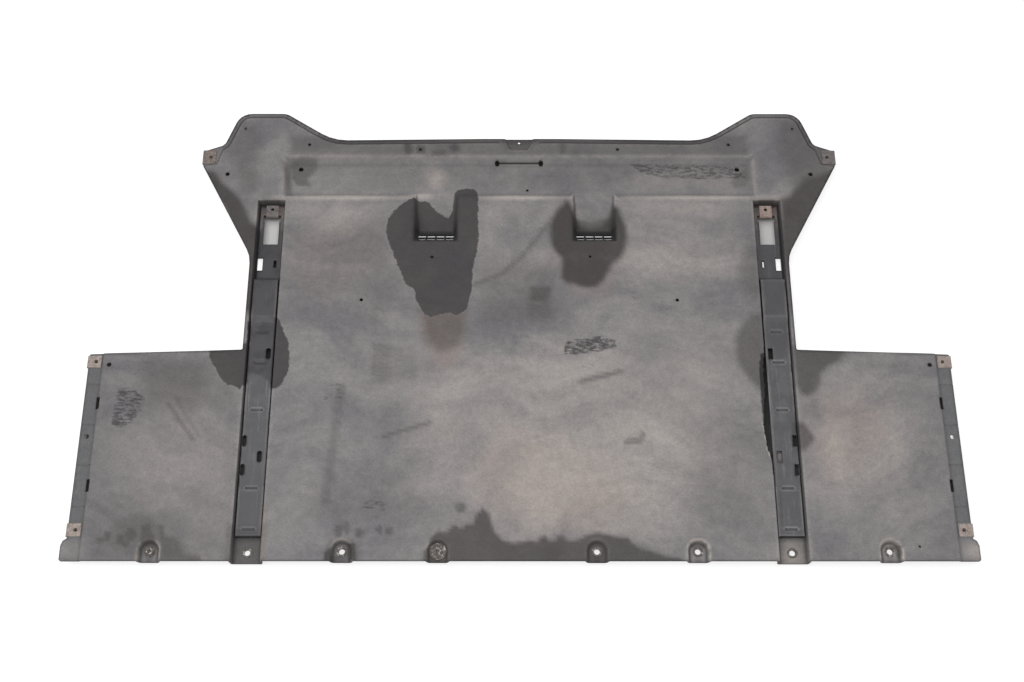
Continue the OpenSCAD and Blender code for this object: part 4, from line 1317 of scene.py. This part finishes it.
@dataclass(frozen=True)
class MouldedRailNylon(Finish):
    """Short-glass nylon, injection moulded: smoother than the sheet, bluish dark grey, with a thin dust film.

    Its edges are scuffed pale along their length, and shade is painted dark into its hollows.
    """

    clean: str = "#38373b"
    dusty: str = "#565558"
    scuffed: str = "#807e7d"
    damp: str = "#282629"
    rust: str = "#5c4a42"
    # Black of the shade painted into the rail's hollows.
    black: str = "#1f1e20"
    scratch_mm: float = 5.0
    cloud_mm: float = 26.0
    grit_mm: float = 1.8

    def material(self) -> bpy.types.Material:
        """Builds the rail's plastic from its object coordinates and its vertices' dirt values."""
        material, t = blank_material("moulded_short_glass_nylon")
        at = node(t, "TexCoord", output="Object")
        got = {key: node(t, "Attribute", output="Fac", attribute_name=key)
               for key in ("wet", "damp", "tan", "ridge", "groove")}
        # Scratches run along the rail, so their noise is stretched twelve times in y.
        drawn = node(t, "Mapping", {"Vector": at, "Scale": (1.0, 0.08, 1.0)})
        scratch, cloud, grit = (
            node(t, "TexNoise", {"Vector": place, "Scale": 1000 / size, "Detail": detail, "Roughness": rough})
            for place, size, detail, rough in (
                (drawn, self.scratch_mm, 5.0, 0.7), (at, self.cloud_mm, 5.0, 0.65),
                (at, self.grit_mm, 2.0, 0.5)))
        mark, push, bleed, grain = (
            node(t, "MapRange", ends) for ends in (
                (scratch, 0.56, 0.72, 0.0, 0.5), (cloud, 0.25, 0.75, -9.0, 9.0), (cloud, 0.35, 0.6, 0.1, 0.9),
                (grit, 0.25, 0.75, 0.84, 1.16)))
        reach = node(t, "Math", (push, got["wet"]), operation="ADD")
        film, oil = (node(t, "MapRange", ends, interpolation_type="SMOOTHSTEP")
                     for ends in ((cloud, 0.4, 0.68, 0.0, 0.75), (reach, -4.0, 4.0)))
        oil = node(t, "Math", (oil, got["damp"]), operation="MAXIMUM")
        # The groove value paints shade into the rail's hollows.
        worn, hollow_shade, bleed = (node(t, "Math", pair, operation="MULTIPLY") for pair in (
            (got["ridge"], cloud), (got["groove"], 0.9), (got["tan"], bleed)))
        worn = node(t, "Math", (worn, 1.6), operation="MULTIPLY")
        colour = coated(t, self.clean, [
            (film, self.dusty), (mark, self.scuffed), (worn, self.scuffed), (hollow_shade, self.black),
            (oil, self.damp), (bleed, self.rust), (grain, None)])
        rough = node(t, "MapRange", (film, 0.0, 1.0, 0.55, 0.82))
        relief = node(t, "Math", (scratch, 0.6, grit), operation="MULTIPLY_ADD")
        surfaced(t, relief, 0.0004, 0.3, {"Base Color": colour, "Roughness": rough, "IOR": 1.52})
        return material


@dataclass(frozen=True)
class RustedSpringSteel(Finish):
    """Zinc-coated spring steel strip, folded, with most of its coating gone to a dull brown rust.

    The rust is rough and not metallic. Grey zinc is left in flecks, and dark pits are eaten into it.
    """

    name: str = "rusted_spring_steel"
    rust: str = "#7a6e68"
    bright_rust: str = "#978b84"
    pit: str = "#3d3430"
    zinc: str = "#a8a3a0"
    patch_mm: float = 7.0
    grit_mm: float = 2.2
    pit_mm: float = 3.2

    def material(self) -> bpy.types.Material:
        """Builds the speckled rust from object coordinates."""
        material, t = blank_material(self.name)
        at = node(t, "TexCoord", output="Object")
        patch, grit = (
            node(t, "TexNoise", {"Vector": at, "Scale": 1000 / size, "Detail": detail, "Roughness": 0.7})
            for size, detail in ((self.patch_mm, 6.0), (self.grit_mm, 4.0)))
        pits = node(t, "TexVoronoi", {"Vector": at, "Scale": 1000 / self.pit_mm, "Randomness": 1.0})
        tone = node(t, "MapRange", (patch, 0.4, 0.6))
        left, eaten = (node(t, "MapRange", ends, interpolation_type="SMOOTHSTEP")
                       for ends in ((grit, 0.56, 0.64), (pits, 0.26, 0.12, 0.0, 0.9)))
        colour = coated(t, self.rust, [(tone, self.bright_rust), (left, self.zinc), (eaten, self.pit)])
        metal = node(t, "Math", (left, 0.55), operation="MULTIPLY")
        surfaced(t, grit, 0.0004, 0.5, {"Base Color": colour, "Roughness": 0.78, "Metallic": metal})
        return material


@dataclass(frozen=True)
class ZincPlatedSteel(Finish):
    """Zinc-plated turned steel: a dull grey metal with bright worn spots and brown dirt in its low places."""

    metal: str = "#a4a19c"
    dirt: str = "#57514d"
    patch_mm: float = 5.0

    def material(self) -> bpy.types.Material:
        """Builds the plated metal from object coordinates."""
        material, t = blank_material("zinc_plated_steel")
        at = node(t, "TexCoord", output="Object")
        patch = node(t, "TexNoise", {"Vector": at, "Scale": 1000 / self.patch_mm, "Detail": 5.0,
                                     "Roughness": 0.7})
        dirty = node(t, "MapRange", (patch, 0.3, 0.52), interpolation_type="SMOOTHSTEP")
        metallic, rough = (node(t, "MapRange", (dirty, 0.0, 1.0, *ends))
                           for ends in ((0.95, 0.15), (0.6, 0.88)))
        colour = coated(t, self.metal, [(dirty, self.dirt)])
        surfaced(t, patch, 0.0003, 0.4, {"Base Color": colour, "Roughness": rough, "Metallic": metallic})
        return material


@dataclass
class StiffeningRail:
    """One stiffening rail: an upside-down channel with a raised saddle, lying in the tray's channel."""

    side: int
    rail_x: float = RAIL_X
    half_w: float = 22.0
    t: float = 2.5
    front_y: float = 44.0
    rear_y: float = 662.0
    front_drop: float = 11.5
    saddle: tuple[float, float] = (436.0, 507.0)
    channel_d: float = CHANNEL_D
    edge_r: float = 2.4
    mark_half_w: float = 9.8
    mark_half_l: float = 1.8
    sunk_ys: tuple[float, float] = (59.0, 122.0)
    clinch_ys: tuple[float, ...] = (56.0, 126.0, 264.0, 351.0, 408.0)
    long_slots: tuple[tuple[float, float], ...] = ((17.7, 158), (17.7, 209), (-10, 181), (-13, 367))

    def __post_init__(self) -> None:
        """Works out the rail's middle line and the surface line along it."""
        self.x = self.side * self.rail_x
        s, e = self.saddle
        floor = self.t - self.channel_d
        self.line = np.array([
            [self.front_y - 20, -self.front_drop, 0], [self.front_y + 3, -self.front_drop, 2], [s - 10, -5, 6],
            [s, -1, 4], [e, -1, 5], [e + 8, floor, 4], [self.rear_y + 20, floor, 0]])

    def _eased(self, past: Array) -> Array:
        """How far the upper face has fallen past the start of a long edge: a quarter circle of edge_r."""
        past = np.clip(past, 0, self.edge_r)
        return self.edge_r - np.sqrt(np.maximum(self.edge_r ** 2 - past ** 2, 0))

    def height(self, p: Array, face: Face) -> Array:
        """Height of a face over plan points.

        The upper face is the line along the rail, rounded off at its long edges and its nose. The pressed
        marks are 1 mm deep boxes with soft sides, and the front stretch between two of them is sunk by half
        a millimetre. The lower face is the channel's floor all round, and a hollow that follows the upper
        face from below.

        Args:
            p: Plan points.
            face: Which face.

        Returns:
            Heights in millimetres from the panel's face.
        """
        x, y = p[:, 0] - self.x, p[:, 1]
        if face is Face.ENGINE:
            ends = np.minimum(y - self.front_y - 4, self.saddle[1] + 6 - y)
            gap = np.minimum(self.half_w - self.t - np.abs(x), ends)
            hollow = along(lowered(self.line, self.t), y) + self.channel_d
            return -self.channel_d + np.maximum(hollow, 0) * smooth(gap, -0.2, 0.2)
        w, l = self.mark_half_w, self.mark_half_l
        z = along(self.line, y) - self._eased(np.abs(x) - (self.half_w - self.edge_r))
        z = z - self._eased(self.front_y + self.edge_r - y)
        for mark in self.clinch_ys:
            z = z - smooth(np.abs(y - mark), l + 0.8, l) * smooth(np.abs(x), w + 0.8, w)
        low, high = self.sunk_ys
        sunk = smooth(np.minimum(y - low, high - y), -0.6, 0.6) * smooth(np.abs(x - 2 * self.side), 16.6, 15.4)
        return np.maximum(z - 0.5 * sunk, -self.channel_d + 0.3)

    def _holes(self) -> list[Array]:
        """Loops of the window, the screw hole and the slots."""
        x, s = self.x, self.side
        end_r = 3.9 if s < 0 else 1.0
        return [window_loop(x, 0.0), circle(x, RAIL_NUT_Y, NUT_D),
                *[slot(x + s * off, y, w, l, 1) for off, y, w, l in RAIL_SLOTS],
                *[slot(x + s * off, y, 8, 20, end_r) for off, y in self.long_slots]]

    def _points(self, face: Face) -> Array:
        """Loose points of a face: rows at every bend along the rail and close to its long edges.

        Args:
            face: Which face.

        Returns:
            The plan points.
        """
        road, w, l = face is Face.ROAD, self.mark_half_w, self.mark_half_l
        near = self.half_w - self.edge_r * (1 - np.sin(np.radians([0, 25, 50, 72])))
        edges = near if road else self.half_w - self.t + np.array([-0.2, 0.2])
        xs = rows(-self.half_w + 0.4, self.half_w - 0.4, 3.4, -edges, edges, [-w - 0.8, -w, w, w + 0.8])
        line = self.line if road else lowered(self.line, self.t)
        steps = np.add.outer(self.clinch_ys, (-l - 0.8, -l, l, l + 0.8)).ravel()
        ends = np.add.outer((self.front_y + 4, self.saddle[1] + 6), (-0.2, 0.2)).ravel()
        nose = self.front_y + self.edge_r * (1 - np.sin(np.radians([10, 35, 60, 90])))
        ys = rows(self.front_y + 0.3, self.rear_y - 0.5, 3.8, marks(line, 12), steps, ends, nose)
        return crossings(np.sort(self.x + xs), ys)

    def _marks(self, p: Array, face: Face) -> dict[str, Array]:
        """Dirt and wear of a face's vertices, and the hollows where the finish paints shade.

        Args:
            p: Plan points.
            face: Which face.

        Returns:
            For each kind, one value for each point.
        """
        found = DIRT.marks(p)
        bend = bent(lambda q: self.height(q, face), p, 1.6)
        edge = self.half_w - np.abs(p[:, 0] - self.x)
        ridge = np.maximum(np.clip(-bend, 0, 1.2), smooth(edge, 3.0, 1.0))
        return {**{key: found[key] for key in ("wet", "damp", "tan")}, "ridge": ridge,
                "groove": np.clip(bend, 0, 1.2)}

    def build(self, finish: Finish) -> bpy.types.Object:
        """Makes the rail's mesh and dresses it.

        Args:
            finish: Finish of the rail.

        Returns:
            The rail, standing for the solid of the same name.
        """
        low, high, front, rear = self.x - self.half_w, self.x + self.half_w, self.front_y, self.rear_y
        outline = divided(rounded([[low, front, 3], [high, front, 3], [high, rear, 1], [low, rear, 1]]), 3.8)
        name = "rail_left" if self.side < 0 else "rail_right"
        loops = [outline, *self._holes()]
        sheet = PressedSheet(f"{name}_moulding", loops, self._points, self.height, self._marks)
        return settle(sheet.build(), name, finish)


@dataclass
class Fasteners:
    """The steel pieces that stay as their solids: clip nuts, sleeves, the washer and the left screws."""

    wing_clips: Finish = RustedSpringSteel()
    grimy_clips: Finish = RustedSpringSteel("grimy_spring_steel", "#585352", "#6d6765", "#292625", "#8d8a88")
    brown_clips: Finish = RustedSpringSteel("brown_spring_steel", "#5d524c", "#736760", "#332b28", "#a09b98")
    pink_clips: Finish = RustedSpringSteel("pink_spring_steel", "#7d6b64", "#9a877f", "#3a302c", "#a8a4a1")
    plated: Finish = ZincPlatedSteel()

    def dress(self) -> None:
        """Gives every steel solid its finish: the clip nuts differ in how much grime and rust they carry."""
        made = {("clip_wing_",): self.wing_clips, ("clip_rail_left", "clip_ear_right"): self.grimy_clips,
                ("clip_ear_left",): self.brown_clips, ("clip_rail_right",): self.pink_clips,
                ("sleeve_", "washer_", "screw_"): self.plated}
        for starts, finish in made.items():
            material = finish.material()
            for name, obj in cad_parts.items():
                if name.startswith(starts):
                    for place in obj.material_slots:
                        place.material = material
                    log.info("%s: solid dressed as %s", name, material.name)


def seen_directly(tree: bpy.types.NodeTree) -> bpy.types.NodeSocket:
    """1 for the camera's rays and for glossy and transmission rays, else 0.

    Args:
        tree: The node tree.

    Returns:
        The output of the last node.
    """
    seen, glossy, through = (node(tree, "LightPath", output=f"Is {ray} Ray")
                             for ray in ("Camera", "Glossy", "Transmission"))
    for other in (glossy, through):
        seen = node(tree, "Math", (seen, other), operation="MAXIMUM")
    return seen


@dataclass
class Studio:
    """A plain white floor, soft light from above and the camera at the photograph's angle.

    Attributes:
        target: What the camera looks at, in the frame's metres.
        distance: How far the camera stands from it.
        elevation: How far the camera looks down, in degrees.
        azimuth: How far it stands to the right of straight in front, in degrees.
        roll: How far it is turned about its own line, in degrees.
        lens: Focal length in millimetres.
        lit: Boxes of floor in plan millimetres, each a middle and two half sizes, where the painted shadow
            is taken away, so that the floor shows bright through the shield's larger holes.
        window: Such a box for the right rail's window.
        cell: Side of a cell of floor near the shield, in millimetres.
        dome: Strength of the light from all round.
        panel_size: Width and length of the soft panel in metres.
        panel_at: Its place.
        panel_turn: Its turns about X and Y in degrees.
        panel_power: Its power in watts.
    """

    target: tuple[float, float, float] = (-0.0129, -0.0359, 0.033)
    distance: float = 2.4606
    elevation: float = 66.82
    azimuth: float = -0.05
    roll: float = 0.064
    lens: float = 50.0
    lit: tuple[tuple[float, float, float, float], ...] = (
        (-463, 555, 8, 18), (463, 555, 8, 18), (437, 553, 3, 8), (-150, 613, 42, 9), (135, 613, 42, 9),
        (729, 226, 8, 10), (0, 797, 12, 12), *((x, 25, 12, 12) for x in (-447, -291, 126, 291, 447, 605)))
    window: tuple[float, float, float, float] = (RAIL_X, 620, 22, 40)
    cell: float = 6.0
    dome: float = 0.45
    panel_size: tuple[float, float] = (3.4, 2.4)
    panel_at: tuple[float, float, float] = (-0.5, -0.6, 2.9)
    panel_turn: tuple[float, float] = (-10.0, -9.0)
    panel_power: float = 88.0

    def way(self) -> Vector:
        """Unit direction from the target to the camera."""
        up, round_ = math.radians(self.elevation), math.radians(self.azimuth)
        return Vector((math.sin(round_) * math.cos(up), -math.cos(round_) * math.cos(up), math.sin(up)))

    def camera(self) -> None:
        """Stands the camera on the line that rises from the target, and turns it to the target."""
        data = bpy.data.cameras.new("camera")
        data.lens, data.sensor_width, data.sensor_fit = self.lens, 36.0, "HORIZONTAL"
        data.clip_end = 50.0
        camera = linked("camera", data)
        way = self.way()
        faced = (-way).to_track_quat("-Z", "Y").to_matrix().to_4x4()
        rolled = faced @ Matrix.Rotation(math.radians(self.roll), 4, "Z")
        camera.matrix_world = Matrix.Translation(Vector(self.target) + way * self.distance) @ rolled
        bpy.context.scene.camera = camera

    def _painted_shadow(self, p: Array) -> Array:
        """How much shadow is painted on the floor at plan points, from 0 to 1.

        It is painted dark where the camera's ray to it crosses the shield's outline at the height of its face,
        so small holes look dark, but for the lit boxes and, in part, the rails' windows, where it grows darker
        towards the rear.

        Args:
            p: Plan points on the floor.

        Returns:
            One value for each point.
        """
        eye = (np.array(self.target) + np.array(self.way()) * self.distance) * 1000
        crossing = p + (eye[:2] + (0, TOTAL_L / 2) - p) * FACE_Z / eye[2]
        painted_shadow = smooth(depth_inside(crossing, PressedTray().outline), 5, 10)
        for x, y, a, b in self.lit:
            painted_shadow *= smooth(np.maximum(np.abs(p[:, 0] - x) - a, np.abs(p[:, 1] - y) - b), 0, 9)
        x, y, a, b = self.window
        window = smooth(np.maximum(np.abs(mirrored(p)[:, 0] - x) - a, np.abs(p[:, 1] - y) - b), 9, 0)
        return painted_shadow * (1 - window * (0.52 - 0.32 * smooth(p[:, 1], 624, 650)))

    def floor(self) -> None:
        """Lays a white floor that the camera sees as nearly white where nothing shades it.

        Camera, glossy and transmission rays see mostly a plain white glow, and the rest is matt white that
        keeps the object's shadow. Where the shield covers the floor a shadow is painted dark into the matt
        white's colour, and the glow is taken away.
        """
        xs, ys = (np.concatenate([[-30000, -2000], np.arange(low, high, self.cell), [far, 30000]])
                  for low, high, far in ((-798, 799, 2000), (-42, 904, 3000)))
        p = crossings(xs, ys)
        corner = (np.arange(len(ys) - 1)[:, None] * len(xs) + np.arange(len(xs) - 1)).ravel()
        quads = np.stack([corner, corner + 1, corner + len(xs) + 1, corner + len(xs)], 1)
        places = to_frame(np.column_stack([p, np.full(len(p), -FACE_Z)]))
        floor = object_from("floor", places, np.zeros((0, 3), int), quads)
        set_values(floor, "painted_shadow", self._painted_shadow(p))
        material, t = blank_material("white_floor")
        painted_shadow = node(t, "Attribute", output="Fac", attribute_name="painted_shadow")
        # Painted shadow: under the shield the matt floor's colour is darkened.
        matt = node(t, "BsdfDiffuse", {"Color": coated(t, "#f4f4f4", [(painted_shadow, "#4c4842")])})
        shaded = node(t, "BsdfDiffuse", {"Color": "#a8a8a8"})
        glow = node(t, "Emission", {"Color": "#ffffff", "Strength": 0.72})
        both = node(t, "AddShader", (shaded, glow))
        # Under the painted shadow the camera sees the darkened matt floor and no glow.
        hidden = node(t, "Math", (painted_shadow, 4.0), operation="MULTIPLY", use_clamp=True)
        seen = node(t, "Math", (seen_directly(t), hidden), operation="SUBTRACT", use_clamp=True)
        node(t, "OutputMaterial", {"Surface": node(t, "MixShader", (seen, matt, both))})
        floor.data.materials.append(material)

    def light(self) -> None:
        """Lights the scene with an even dome, seen as white, and one large soft panel overhead."""
        world = bpy.data.worlds.new("studio")
        bpy.context.scene.world = world
        world.use_nodes = True
        t = world.node_tree
        t.nodes.clear()
        dome, white = (node(t, "Background", {"Color": "#ffffff", "Strength": power})
                       for power in (self.dome, 1.0))
        node(t, "OutputWorld", {"Surface": node(t, "MixShader", (seen_directly(t), dome, white))})
        data = bpy.data.lights.new("panel", "AREA")
        data.shape, data.energy = "RECTANGLE", self.panel_power
        data.size, data.size_y = self.panel_size
        tilt, lean = (Matrix.Rotation(math.radians(turn), 4, axis) for turn, axis in zip(self.panel_turn, "XY"))
        linked("panel", data).matrix_world = Matrix.Translation(self.panel_at) @ tilt @ lean


def main() -> None:
    """Builds the studio and every piece in order."""
    logging.basicConfig(level=logging.INFO, format="%(name)s: %(message)s")
    bpy.context.scene.view_settings.view_transform = "Standard"
    studio = Studio()
    studio.camera()
    studio.floor()
    studio.light()
    PressedTray().build(MouldedMatNylon())
    rail_finish = MouldedRailNylon()
    for side in (-1, 1):
        StiffeningRail(side).build(rail_finish)
    Fasteners().dress()
    bpy.context.view_layer.update()


if __name__ == "__main__":
    main()
